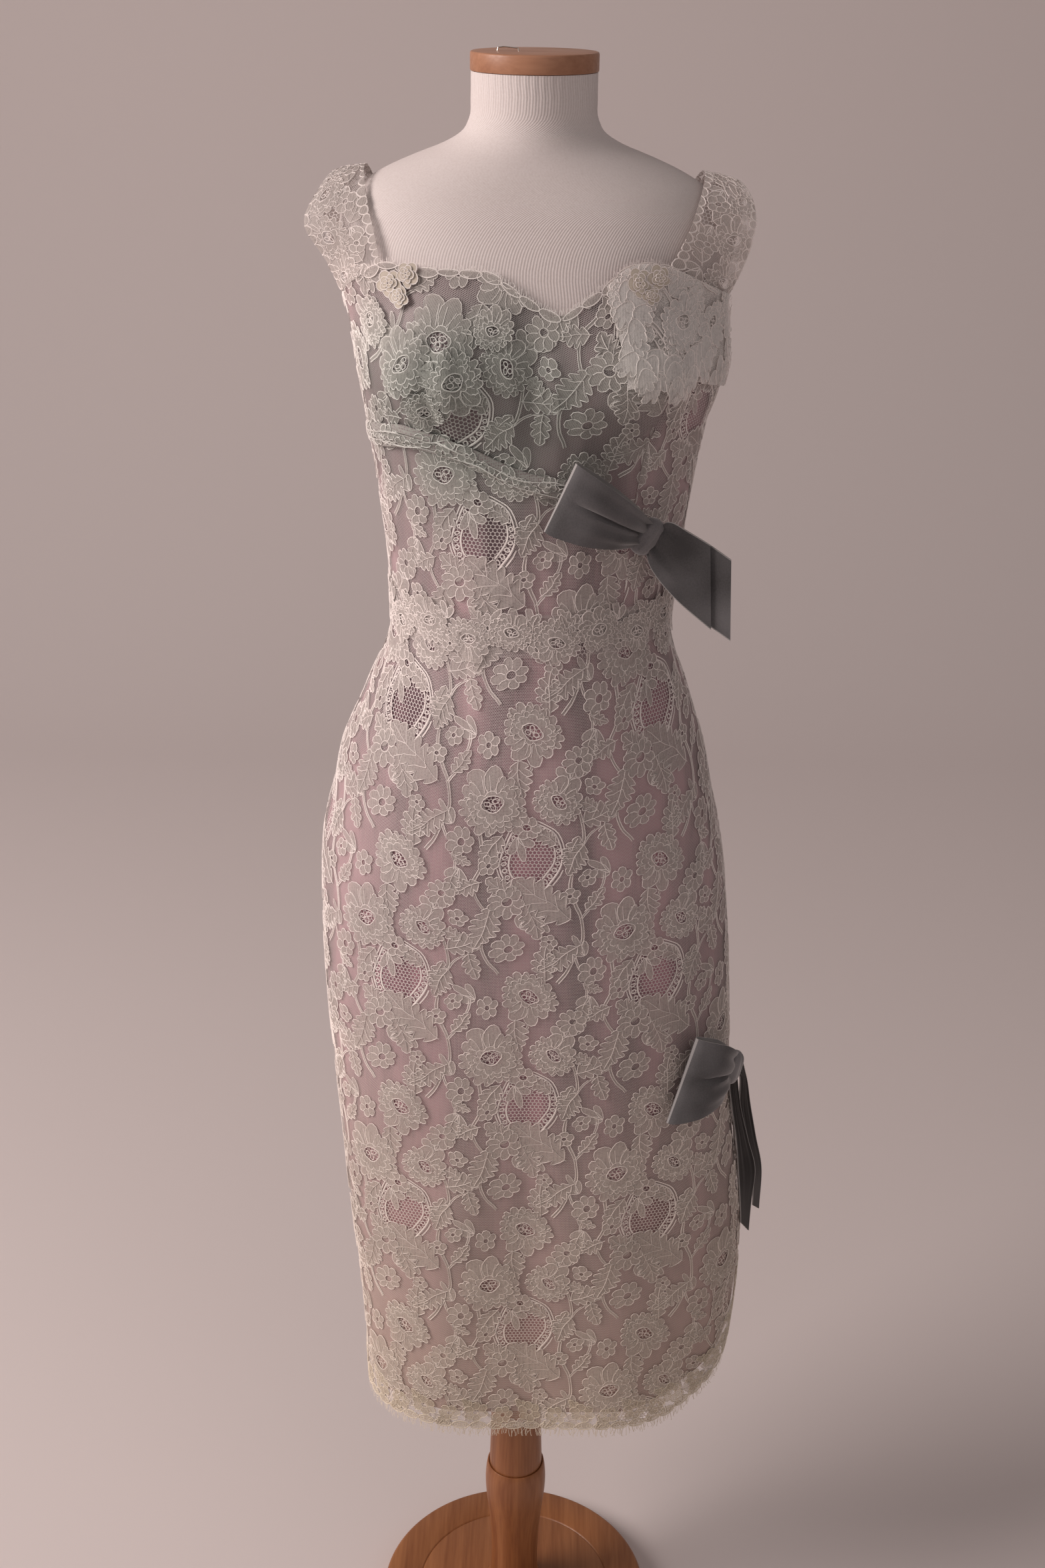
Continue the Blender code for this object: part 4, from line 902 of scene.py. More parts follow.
def makeFoldedLace():
    # several layers of the net rolled together: nearly opaque, pale sage, with the meshes of the top layer
    made, tree, shader = newMaterial("foldedCottonRayonNet")
    flat = addNode(tree, "UVMap", uv_map="flat")
    cells = addNode(tree, "TexVoronoi", {"Vector": flat, "Scale": 620.0, "Randomness": 0.35})
    holes = addNode(tree, "MapRange", {"Value": cells, "From Min": 0.15, "From Max": 0.5})
    thread = laceColor(tree, "#c4bdb8", "#9fa29c")
    color = addNode(tree, "Mix", {"Factor": holes, "A": linear("#85787a"), "B": thread}, data_type="RGBA")
    bump = addNode(tree, "Bump", {"Height": holes, "Strength": 0.3, "Distance": 0.0003})
    setInputs(shader, {"Base Color": color, "Normal": bump, "Roughness": 0.85})
    return made


def makeCordThread(name, skirtColor, bodiceColor):
    # twisted cotton cord that outlines the motifs: brighter than the filling, matt, a little raised
    made, tree, shader = newMaterial(name)
    color = laceColor(tree, skirtColor, bodiceColor)
    flat = addNode(tree, "UVMap", uv_map="flat")
    twist = addNode(tree, "TexNoise", {"Vector": flat, "Scale": 900.0, "Detail": 1.0})
    bump = addNode(tree, "Bump", {"Height": twist, "Strength": 0.3, "Distance": 0.0002})
    setInputs(shader, {"Base Color": color, "Normal": bump, "Roughness": 0.75, "Specular IOR Level": 0.3})
    return made


def makeSatin(name, color, shade, cup=None):
    # acetate satin: a smooth face with a soft, broad shine and fine warp lines, its colour streaked upright
    # with painted sheen and painted fold shade
    made, tree, shader = newMaterial(name)
    flat = addNode(tree, "UVMap", uv_map="flat")
    stretched = addNode(tree, "VectorMath", {0: flat, 1: (1000.0, 40.0, 1.0)}, operation="MULTIPLY")
    warp = addNode(tree, "TexNoise", {"Vector": stretched, "Scale": 1.0, "Detail": 2.0})
    place = addNode(tree, "TexCoord", give="Object")
    # broad upright streaks: painted sheen on the folds' ridges and painted shade in their troughs
    drawn = addNode(tree, "VectorMath", {0: place, 1: (30.0, 30.0, 2.5)}, operation="MULTIPLY")
    broad = addNode(tree, "TexNoise", {"Vector": drawn, "Scale": 1.0, "Detail": 1.0})
    both = addNode(tree, "Math", {0: warp, 1: 0.25, 2: broad}, operation="MULTIPLY_ADD")
    blend = addNode(tree, "MapRange", {"Value": both, "From Min": 0.48, "From Max": 0.76})
    mixed = addNode(tree, "Mix", {"Factor": blend, "A": linear(shade), "B": linear(color)}, data_type="RGBA")
    if cup:
        # it has faded to beige toward the hem
        up = addNode(tree, "SeparateXYZ", {0: place}, give="Z")
        up = addNode(tree, "MapRange", {"Value": up, "From Min": 0.38, "From Max": 0.72})
        mixed = addNode(tree, "Mix", {"Factor": up, "A": linear("#b7978f"), "B": mixed}, data_type="RGBA")
        # the draped bust is backed with grey satin; its dark grey toward the wearer's right cup is also
        # painted shade of the pucker's hollow
        spot = addNode(tree, "VectorMath", {0: place, 1: (-0.03, -0.12, 1.275)}, operation="SUBTRACT")
        away = addNode(tree, "VectorMath", {0: spot}, operation="LENGTH")
        fade = {"Value": away, "From Min": 0.06, "From Max": 0.17, "To Min": 0.85, "To Max": 0.0}
        here = addNode(tree, "MapRange", fade)
        mixed = addNode(tree, "Mix", {"Factor": here, "A": mixed, "B": linear(cup)}, data_type="RGBA")
    bump = addNode(tree, "Bump", {"Height": warp, "Strength": 0.12, "Distance": 0.0002})
    setInputs(shader, {"Base Color": mixed, "Normal": bump, "Roughness": 0.42, "Specular IOR Level": 0.4})
    return made


def makeVelvet(name, color, light, sheen=1.0):
    # rayon velvet ribbon: a short pile that looks darker face on and lighter where it turns away
    made, tree, shader = newMaterial(name)
    place = addNode(tree, "TexCoord", give="Object")
    pile = addNode(tree, "TexNoise", {"Vector": place, "Scale": 900.0, "Detail": 2.0})
    nap = addNode(tree, "TexNoise", {"Vector": place, "Scale": 28.0, "Detail": 1.0})
    both = addNode(tree, "Math", {0: pile, 1: 0.3, 2: nap}, operation="MULTIPLY_ADD")
    blend = addNode(tree, "MapRange", {"Value": both, "From Min": 0.45, "From Max": 0.85})
    mixed = addNode(tree, "Mix", {"Factor": blend, "A": linear(color), "B": linear(light)}, data_type="RGBA")
    bump = addNode(tree, "Bump", {"Height": pile, "Strength": 0.35, "Distance": 0.0004})
    setInputs(shader, {"Base Color": mixed, "Normal": bump, "Roughness": 0.9, "Specular IOR Level": 0.15})
    glow = {"Sheen Weight": sheen, "Sheen Roughness": 0.45, "Sheen Tint": linear("#dcdada")}
    setInputs(shader, glow)
    return made


def makeJersey():
    # cotton knit stretched over the form: near white, with fine upright ribs
    made, tree, shader = newMaterial("cottonRibJersey")
    flat = addNode(tree, "UVMap", uv_map="flat")
    knit = {"Vector": flat, "Scale": waveScale / form["ribSpacing"], "Distortion": 1.0, "Detail": 1.0}
    ribs = addNode(tree, "TexWave", knit | {"Detail Scale": 0.3}, bands_direction="X", give="Fac")
    place = addNode(tree, "TexCoord", give="Object")
    fuzz = addNode(tree, "TexNoise", {"Vector": place, "Scale": 700.0, "Detail": 2.0})
    stain = addNode(tree, "TexNoise", {"Vector": place, "Scale": 6.0, "Detail": 3.0})
    shade = addNode(tree, "Math", {0: ribs, 1: 0.6, 2: fuzz}, operation="MULTIPLY_ADD")
    shade = addNode(tree, "Math", {0: shade, 1: stain}, operation="ADD")
    blend = addNode(tree, "MapRange", {"Value": shade, "From Min": 0.7, "From Max": 1.6})
    colors = {"Factor": blend, "A": linear("#d6cbc7"), "B": linear("#e9e1df")}
    mixed = addNode(tree, "Mix", colors, data_type="RGBA")
    bump = addNode(tree, "Bump", {"Height": ribs, "Strength": 0.35, "Distance": 0.0004})
    setInputs(shader, {"Base Color": mixed, "Normal": bump, "Roughness": 0.92, "Specular IOR Level": 0.2})
    return made


def makeWood(name, light, dark, stretch):
    # hardwood turned and clear-varnished: long fibres, a few darker pores, a low gloss
    made, tree, shader = newMaterial(name)
    place = addNode(tree, "TexCoord", give="Object")
    along = addNode(tree, "VectorMath", {0: place, 1: stretch}, operation="MULTIPLY")
    grain = {"Vector": along, "Scale": 60.0, "Detail": 4.0, "Roughness": 0.6, "Distortion": 0.8}
    bands = addNode(tree, "TexNoise", grain)
    fibres = addNode(tree, "TexNoise", {"Vector": along, "Scale": 420.0, "Detail": 3.0})
    mixed = addNode(tree, "Math", {0: fibres, 1: 0.45, 2: bands}, operation="MULTIPLY_ADD")
    blend = addNode(tree, "MapRange", {"Value": mixed, "From Min": 0.5, "From Max": 0.95})
    color = addNode(tree, "Mix", {"Factor": blend, "A": linear(dark), "B": linear(light)}, data_type="RGBA")
    rough = addNode(
        tree, "MapRange", {"Value": fibres, "From Min": 0.3, "From Max": 0.7, "To Min": 0.46, "To Max": 0.33}
    )
    bump = addNode(tree, "Bump", {"Height": fibres, "Strength": 0.08, "Distance": 0.0003})
    setInputs(shader, {"Base Color": color, "Roughness": rough, "Normal": bump})
    return made


def makeMetal():
    # nickel-plated zinc: bright, slightly worn
    made, tree, shader = newMaterial("nickelPlatedZinc")
    place = addNode(tree, "TexCoord", give="Object")
    wear = addNode(tree, "TexNoise", {"Vector": place, "Scale": 500.0, "Detail": 3.0})
    rough = addNode(
        tree, "MapRange", {"Value": wear, "From Min": 0.3, "From Max": 0.7, "To Min": 0.22, "To Max": 0.42}
    )
    setInputs(shader, {"Base Color": linear("#c9c5bf"), "Roughness": rough, "Metallic": 1.0})
    return made


def makeTape():
    # cotton twill tape of the zip
    made, tree, shader = newMaterial("cottonTwillTape")
    flat = addNode(tree, "UVMap", uv_map="flat")
    weave = {"Vector": flat, "Scale": waveScale, "Distortion": 0.4}
    twill = addNode(tree, "TexWave", weave, bands_direction="DIAGONAL", give="Fac")
    colors = {"Factor": twill, "A": linear("#a8a298"), "B": linear("#c3bdb2")}
    color = addNode(tree, "Mix", colors, data_type="RGBA")
    bump = addNode(tree, "Bump", {"Height": twill, "Strength": 0.3, "Distance": 0.0002})
    setInputs(shader, {"Base Color": color, "Normal": bump, "Roughness": 0.85})
    return made


laceNet = makeLaceNet()
softNet = makeSoftNet()
laceFilling = makeClothwork("rayonLaceFilling", "#d6cdc8", "#abb0a9")
# whiter filling for the gathered lace on the wearer's left cup, made lighter still as painted light for its
# shaded side
whitePaintedLightFilling = makeClothwork("rayonLaceFillingWhitePaintedLight", "#fbf7f4", "#dfe1dc")
laceCord = makeCordThread("cottonLaceCord", "#fdf4f0", "#dfe4de")
ecruCord = makeCordThread("ecruLaceThread", "#d3c9bb", "#d3c9bb")
agedFilling = makeClothwork("rayonLaceFillingAged", "#d1c7b5", "#d1c7b5")
agedCord = makeCordThread("cottonLaceCordAged", "#efe6d6", "#efe6d6")
pinkSatin = makeSatin("acetateSatinPink", "#c69ba5", "#7c5f67", cup="#6f6b6b")
paleSatin = makeSatin("acetateSatinGrey", "#a9a7a6", "#989696")
velvet = makeVelvet("rayonVelvet", "#4e4d4e", "#6d6c6e")
# a darker copy of the velvet: painted shade for the slit bow's tails
tailPaintedShadeVelvet = makeVelvet("rayonVelvetPaintedShade", "#211e1d", "#34302f", 0.3)
# a lighter copy of the velvet: painted light for the knots, which sit in the loops' shade
knotPaintedLightVelvet = makeVelvet("rayonVelvetPaintedLight", "#706e70", "#949294")
jersey = makeJersey()
metal = makeMetal()
zipCloth = makeTape()
laceFinishes = (laceFilling, laceCord, ecruCord)
whitePaintedLightFinishes = (whitePaintedLightFilling, laceCord, ecruCord)
print("finishes ready")

# ---- from drawings and grids to pieces


def buildPiece(name, points, faces, uv, finishes, kinds=None):
    mesh = bpy.data.meshes.new(name)
    mesh.from_pydata(points.reshape(-1, 3), [], faces.tolist())
    layer = mesh.uv_layers.new(name="flat")
    layer.data.foreach_set("uv", uv.reshape(-1, 2)[faces.ravel()].ravel())
    for finish in finishes:
        mesh.materials.append(finish)
    if kinds is not None:
        mesh.polygons.foreach_set("material_index", kinds.astype(np.int32))
    mesh.shade_smooth()
    mesh.update()
    piece = bpy.data.objects.new(name, mesh)
    bpy.context.scene.collection.objects.link(piece)
    return piece


def gridFaces(rows, columns):
    k = (np.arange(rows - 1)[:, None] * columns + np.arange(columns - 1)[None, :]).ravel()
    return np.stack([k, k + 1, k + columns + 1, k + columns], 1)


def sheetPiece(name, grid, uv, finish):
    # one layer of cloth
    return buildPiece(name, grid, gridFaces(*grid.shape[:2]), uv, (finish,))


def shellPiece(name, outer, inner, uv, finishes):
    # cloth with both faces and its cut edges; finishes are the outer face's and the rest's
    rows, columns = outer.shape[:2]
    half = rows * columns
    face = gridFaces(rows, columns)
    back = face[:, ::-1] + half
    border = list(range(columns)) + [r * columns + columns - 1 for r in range(1, rows)]
    border += [(rows - 1) * columns + c for c in range(columns - 2, -1, -1)]
    border += [r * columns for r in range(rows - 2, 0, -1)]
    border = np.array(border)
    following = np.roll(border, -1)
    rim = np.stack([following, border, border + half, following + half], 1)
    kinds = np.concatenate([np.zeros(len(face)), np.ones(len(back) + len(rim))])
    if len(finishes) == 1:
        kinds[:] = 0
    points = np.concatenate([outer.reshape(-1, 3), inner.reshape(-1, 3)])
    both = np.concatenate([uv.reshape(-1, 2), uv.reshape(-1, 2)])
    piece = buildPiece(name, points, np.concatenate([face, back, rim]), both, finishes, kinds)
    piece.data.set_sharp_from_angle(angle=math.radians(50))
    return piece


def gridArea(grid):
    a, b, c, d = grid[:-1, :-1], grid[:-1, 1:], grid[1:, 1:], grid[1:, :-1]
    return float(np.linalg.norm(np.cross(c - a, d - b), axis=2).sum() / 2)


def panelGrid(panel, cell):
    # angles and heights of a net of points over a panel, from its lower edge up
    skin, first, last, low, high = panel
    middle = np.array([180.0 if skin == "back" else (first + last) / 2])
    tall = float(high(middle)[0] - low(middle)[0])
    start, end = spanAt(panel, np.array([float(low(middle)[0] + tall / 2)]))
    wide = float(abs(np.diff(aroundAt(skins[skin], np.array([start[0], end[0]]), low(middle) + tall / 2))[0]))
    rows, columns = max(4, int(tall / cell)), max(4, int(wide / cell))
    share = np.linspace(0, 1, columns)[None, :] + np.zeros((rows, 1))
    up = np.linspace(0, 1, rows)[:, None] + np.zeros((1, columns))
    angle = start[0] + (end[0] - start[0]) * share
    for _ in range(2):
        height = low(angle) + (high(angle) - low(angle)) * up
        start, end = spanAt(panel, height)
        angle = start + (end - start) * share
    return angle, height


def toFlat(around, height, origin, turn):
    # from the dress to the lace's own frame
    c, s = math.cos(math.radians(turn)), math.sin(math.radians(turn))
    x, y = around - origin[0], height - origin[1]
    return np.stack([c * x + s * y, -s * x + c * y], -1)


def panelSurface(panel):
    # where a drawing may lie on a panel of the dress, and where its points come to
    skin = skins[panel[0]]
    low, high = panel[3:]

    def inside(around, height):
        angle = angleAt(skin, around, height)
        start, end = spanAt(panel, height)
        return (angle > start) & (angle < end) & (height > low(angle)) & (height < high(angle))

    def place(around, height, rise):
        start, end = spanAt(panel, height)
        angle = np.clip(angleAt(skin, around, height), start, end)
        return clothPoint(angle, np.clip(height, low(angle), high(angle)), rise, skin["rear"])

    return {"inside": inside, "place": place, "box": (-0.40, 0.40, 0.30, 1.40)}


def patchSurface(grid):
    # the same for a strip given as a grid of points, rows along it and columns across
    normals = unit(np.cross(np.gradient(grid, axis=1), np.gradient(grid, axis=0)))
    wide = float(np.linalg.norm(np.diff(grid, axis=1), axis=2).sum(1).mean())
    tall = float(np.linalg.norm(np.diff(grid, axis=0), axis=2).sum(0).mean())
    rows, columns = grid.shape[:2]

    def inside(across, along):
        return (across > 0) & (across < wide) & (along > 0) & (along < tall)

    def place(across, along, rise):
        row = np.clip(along / tall, 0, 1) * (rows - 1)
        column = np.clip(across / wide, 0, 1) * (columns - 1)
        return lookUp(grid, row, column) + lookUp(normals, row, column) * np.asarray(rise)[..., None]

    return {"inside": inside, "place": place, "box": (0, wide, 0, tall), "wide": wide, "tall": tall}


def laidDrawing(name, drawing, surface, base, origin=(0.0, 0.0), turn=0.0, repeats=True, finishes=None):
    # lays a drawing on a surface: what falls outside is dropped, what crosses the edge ends on it
    c, s = math.cos(math.radians(turn)), math.sin(math.radians(turn))
    points, faces, kinds = drawing["points"] * mm, drawing["faces"], drawing["kinds"]
    offsets = [(0.0, 0.0)]
    if repeats:
        width, height = lace["repeatWidth"] * mm, lace["repeatHeight"] * mm
        offsets = [(k * width, r * height + (k % 2) * height / 2) for k in range(-6, 7) for r in range(-7, 8)]
    left, right, bottom, top = surface["box"]
    allPoints, allFaces, allKinds, allFlat = [], [], [], []
    count = 0
    for dx, dy in offsets:
        x, y = points[:, 0] + dx, points[:, 1] + dy
        around = origin[0] + c * x - s * y
        height = origin[1] + s * x + c * y
        if height.max() < bottom or height.min() > top or around.max() < left or around.min() > right:
            continue
        kept = surface["inside"](around, height)[faces].any(1)
        if not kept.any():
            continue
        used, index = np.unique(faces[kept], return_inverse=True)
        allPoints.append(surface["place"](around[used], height[used], base * mm + points[used, 2]))
        allFaces.append(index.reshape(-1, 3) + count)
        allKinds.append(kinds[kept])
        allFlat.append(np.stack([x[used], y[used]], -1))
        count += len(used)
    joined = [np.concatenate(part) for part in (allPoints, allFaces, allFlat)]
    return buildPiece(name, *joined, finishes or laceFinishes, np.concatenate(allKinds))


def declareSheet(grid, around=None):
    # the cut of what shows, measured along the cloth: its longest column, its own area, and its widest row
    # or, for a panel whose rows follow a curved edge, how far it reaches around the body
    wide = np.linalg.norm(np.diff(grid, axis=1), axis=2).sum(1).max() if around is None else np.ptp(around)
    tall = np.linalg.norm(np.diff(grid, axis=0), axis=2).sum(0).max()
    gridArea(grid)


def onForm(slotName, *pieces):
    for piece in pieces:
        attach(piece, "form")


laceRepeat = drawRepeat()
print("lace drawn:", len(laceRepeat["faces"]), "faces a repeat")

# ---- scalloped edges and the fringe along them

edging = {
    "scallop": 15.0,  # mm along the edge
    "depth": 8.0,
    "strandSpacing": 1.5,  # mm between the fringe's threads
    "hemStrand": (6.0, 11.0),  # mm, shortest and longest
    "neckStrand": (2.0, 4.5),
    "threadWidth": 0.42,  # mm; the real threads are finer and would not show
}
chance = np.random.default_rng(7)


def edgeLine(skinName, first, last, edge):
    # an edge of the dress as a line in millimetres around and up, a point every 2 mm
    angle = np.linspace(first, last, 400)
    line = np.stack([aroundAt(skins[skinName], angle, edge(angle)), edge(angle)], 1) * 1000
    along = np.concatenate([[0], np.cumsum(np.linalg.norm(np.diff(line, axis=0), axis=1))])
    at = np.arange(0, along[-1], 2.0)
    return np.stack([np.interp(at, along, line[:, 0]), np.interp(at, along, line[:, 1])], 1)


def drawEdging(line, outward, strands):
    # scallops and loose threads along a line; outward is 1 for upward and -1 for downward
    d = newDrawing(0.0)
    step = np.linalg.norm(line[1] - line[0])
    along = np.gradient(line, axis=0)
    slope = np.degrees(np.arctan2(along[:, 1], along[:, 0]))
    every = int(round(edging["scallop"] / step))
    for k in range(every // 2, len(line) - 1, every):
        turn = slope[k] + (180 if outward < 0 else 0)
        out = np.radians(slope[k] + 90 * outward)
        # the neck's scallops are shallower and less even than the hem's
        size = 1.0 if outward < 0 else (0.80, 0.56, 0.70)[k // every % 3]
        depth = edging["depth"] * size
        root = line[k] - np.array([math.cos(out), math.sin(out)]) * depth * 0.85
        width = edging["scallop"] * (1.12 if outward < 0 else 1.24)
        scallop = moved(petalLine(depth, width, lobes=3, ruffle=0.05, points=18), root, turn)
        addFill(d, scallop, 12 + 0.1 * (k % 2))
        addCord(d, scallop, 12 + 0.1 * (k % 2), 1.2 if outward < 0 else 0.7, closed=True, ridge=outward < 0)
        for share in (-0.5, 0.5) if outward < 0 else ():
            spot = root + np.array([math.cos(out), math.sin(out)]) * edging["depth"] * 0.5
            spot = spot + along[k] / step * share * width * 0.45
            addCord(d, moved(ovalLine(1.5, 1.5, 7), spot), 12.3, 0.8, closed=True, ridge=False)
    if outward < 0:
        # a row of small flowers and leaves stands over the hem's scallops
        for number, k in enumerate(range(7, len(line) - 6, 12)):
            away = np.radians(slope[k] + 90)
            spot = line[k] + np.array([math.cos(away), math.sin(away)]) * (15 + 3 * (number % 2))
            addLeaf(d, spot, slope[k] + (40 if number % 2 else 145), 19, 11, 15, 4, veins=2)
            addRosette(d, spot, 9.0 + 1.5 * (number % 2), 16, petals=6, turn=31 * number)
    length = np.concatenate([[0], np.cumsum(np.linalg.norm(np.diff(line, axis=0), axis=1))])
    for at in np.arange(0.6, length[-1], edging["strandSpacing"]):
        root = np.array([np.interp(at, length, line[:, 0]), np.interp(at, length, line[:, 1])])
        reach = chance.uniform(*strands) * outward
        lean = chance.normal(0, 0.22) * abs(reach)
        curl = chance.normal(0, 0.12) * abs(reach)
        share = np.array([0, 0.4, 0.75, 1.0])
        strand = root + np.stack([lean * share + curl * np.sin(share * 3.1), reach * share], 1)
        addCord(d, strand, 12, edging["threadWidth"], ridge=False, lift=chance.uniform(-0.5, 0.5))
    return d


hemParts = {
    "hem_fringe_front": ("front", -90, 90),
    "hem_fringe_back_left": ("back", 90, 180),
    "hem_fringe_back_right": ("back", 180, 270),
}
fringes = {}
for node, (skinName, first, last) in hemParts.items():
    line = edgeLine(skinName, first + 0.3, last - 0.3, hemHeight)
    drawing = merged(drawEdging(line, -1, edging["hemStrand"]))
    surface = panelSurface((skinName, first, last, lambda a: hemHeight(a) - 0.013, waistHeight))
    fringes[node] = laidDrawing(
        node + "_threads", drawing, surface, -0.3, repeats=False, finishes=(agedFilling, agedCord, ecruCord)
    )
    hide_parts(node)
    onForm("lace", fringes[node])

neckParts = {
    "neck_edge_front": ("front", -64, 54),
    "neck_edge_back_left": ("back", 128, 178),
    "neck_edge_back_right": ("back", 182, 232),
}
for name, (skinName, first, last) in neckParts.items():
    drawing = merged(drawEdging(edgeLine(skinName, first, last, neckHeight), 1, edging["neckStrand"]))
    surface = panelSurface((skinName, first, last, waistHeight, lambda a: neckHeight(a) + 0.006))
    fringes[name] = laidDrawing(name, drawing, surface, -0.2, repeats=False)
    onForm("lace", fringes[name])
print("edges laid")

# ---- the lace's cut pieces

origins = {
    # where the pattern's origin lies on each piece, around and up, its turn, and the edgings sewn to it
    "skirt_front": (0.000, 0.843, 0.0, ("hem_fringe_front",)),
    "skirt_back_left": (-0.050, 0.843, 0.0, ("hem_fringe_back_left",)),
    "skirt_back_right": (0.058, 0.900, 0.0, ("hem_fringe_back_right",)),
    "midriff_panel": (-0.040, 1.100, 0.0, ()),
    "bust_panel": (-0.085, 1.200, -22.0, ("neck_edge_front",)),
    "bodice_side_left": (0.150, 1.190, 8.0, ()),
    "bodice_back_left": (-0.054, 1.170, 0.0, ("neck_edge_back_left",)),
    "bodice_back_right": (0.054, 1.170, 0.0, ("neck_edge_back_right",)),
}


def layPanel(node, origin, turn, edgings):
    # one cut piece of lace: its net and the motifs on it
    panel = panels[node]
    skin = skins[panel[0]]
    angle, height = panelGrid(panel, dress["cell"] * mm)
    around = aroundAt(skin, angle, height)
    grid = clothPoint(angle, height, 0 * angle - dress["netDepth"] * mm, skin["rear"])
    net = sheetPiece(node + "_net", grid, toFlat(around, height, origin, turn), laceNet)
    motifs = laidDrawing(node + "_motifs", laceRepeat, panelSurface(panel), -0.35, origin, turn)
    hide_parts(node)
    others = [motifs] + [fringes[name] for name in edgings]
    declareSheet(grid, around=around)
    onForm("lace", net, motifs)


for node, (around, height, turn, edgings) in origins.items():
    layPanel(node, (around, height), turn, edgings)
print("lace panels laid")

# ---- flowers sewn over the waist seam

waistBand = {
    "below": 0.0135,
    "above": 0.0205,
    "spacing": 34.0,  # mm between roses
    "radius": 19.0,
    "rise": 1.3,  # mm off the panels
}


def layWaistBand(node, skinName, first, last):
    low = lambda a: dress["waist"] - waistBand["below"] + 0 * a
    high = lambda a: dress["waist"] + waistBand["above"] + 0 * a
    panel = (skinName, first, last, low, high)
    skin = skins[skinName]
    angle, height = panelGrid(panel, 5 * mm)
    around = aroundAt(skin, angle, height)
    grid = clothPoint(angle, height, 0 * angle + waistBand["rise"] * mm * 0.6, skin["rear"])
    net = sheetPiece(node + "_net", grid, toFlat(around, height, (0.02, 1.0), 0.0), laceNet)
    d = newDrawing()
    start, end = float(around.min()) * 1000, float(around.max()) * 1000
    middle = dress["waist"] * 1000 + 3
    for k, at in enumerate(np.arange(start + 12, end, waistBand["spacing"])):
        turn = (-24, 158, 20, 190)[k % 4]
        radius = waistBand["radius"] * (1.0, 0.92, 1.05)[k % 3]
        addRose(d, (at, middle + (3, -3)[k % 2]), radius, turn, 10 + k % 2)
        addLeaf(d, (at + 13, middle - 4), -60 + 40 * (k % 3), 24, 15, 8, 4, veins=2)
        addLeaf(d, (at + 17, middle + 6), 70 - 30 * (k % 2), 22, 14, 7, 4, veins=2)
        addSprig(d, (at + 18, middle + 9), 20 - 50 * (k % 2), 0.8, order=6)
        addRosette(d, (at + 17, middle - 10 + 16 * (k % 2)), 6.5, 9, turn=30 * k)
    surface = panelSurface((skinName, first, last, lambda a: low(a) - 0.006, lambda a: high(a) + 0.006))
    motifs = laidDrawing(node + "_flowers", merged(d), surface, waistBand["rise"], repeats=False)
    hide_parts(node)
    declareSheet(grid)
    onForm("lace", net, motifs)


layWaistBand("waist_band_front", "front", -90, 90)
layWaistBand("waist_band_back_left", "back", 90, -1)
layWaistBand("waist_band_back_right", "back", 1, 270)

# ---- more lace laid over the wearer's left cup, and roses over the right one

cupLace = {
    "rise": 1.2,  # mm off the bust panel
    "origin": (0.098, 1.235),
    "turn": 24.0,
    "roses": (
        # around, height, radius, turn
        (-0.094, 1.296, 25, 40), (-0.055, 1.288, 24, 215), (-0.128, 1.322, 18, 60), (-0.028, 1.322, 16, -30),
        (-0.076, 1.262, 16, 170), (0.072, 1.338, 20, 160), (0.112, 1.325, 21, -20), (0.146, 1.318, 18, 80),
    ),
    "ruffles": (
        ((0.066, 1.352), (0.072, 1.332), (0.070, 1.312), (0.078, 1.295)),
        ((0.076, 1.307), (0.100, 1.302), (0.124, 1.306), (0.146, 1.314)),
        ((0.078, 1.296), (0.100, 1.291), (0.124, 1.295), (0.146, 1.303)),
    ),
    "ecru": (
        # around, height, radius
        (-0.104, 1.349, 9.5), (-0.088, 1.354, 8.0), (-0.097, 1.340, 7.0), (0.078, 1.351, 9.0),
        (0.092, 1.356, 8.0), (0.086, 1.343, 7.0),
    ),
}


def overlayLow(angle):
    seam = seamHeight(angle)
    return seam + (neckHeight(angle) - seam) * 4 / 7


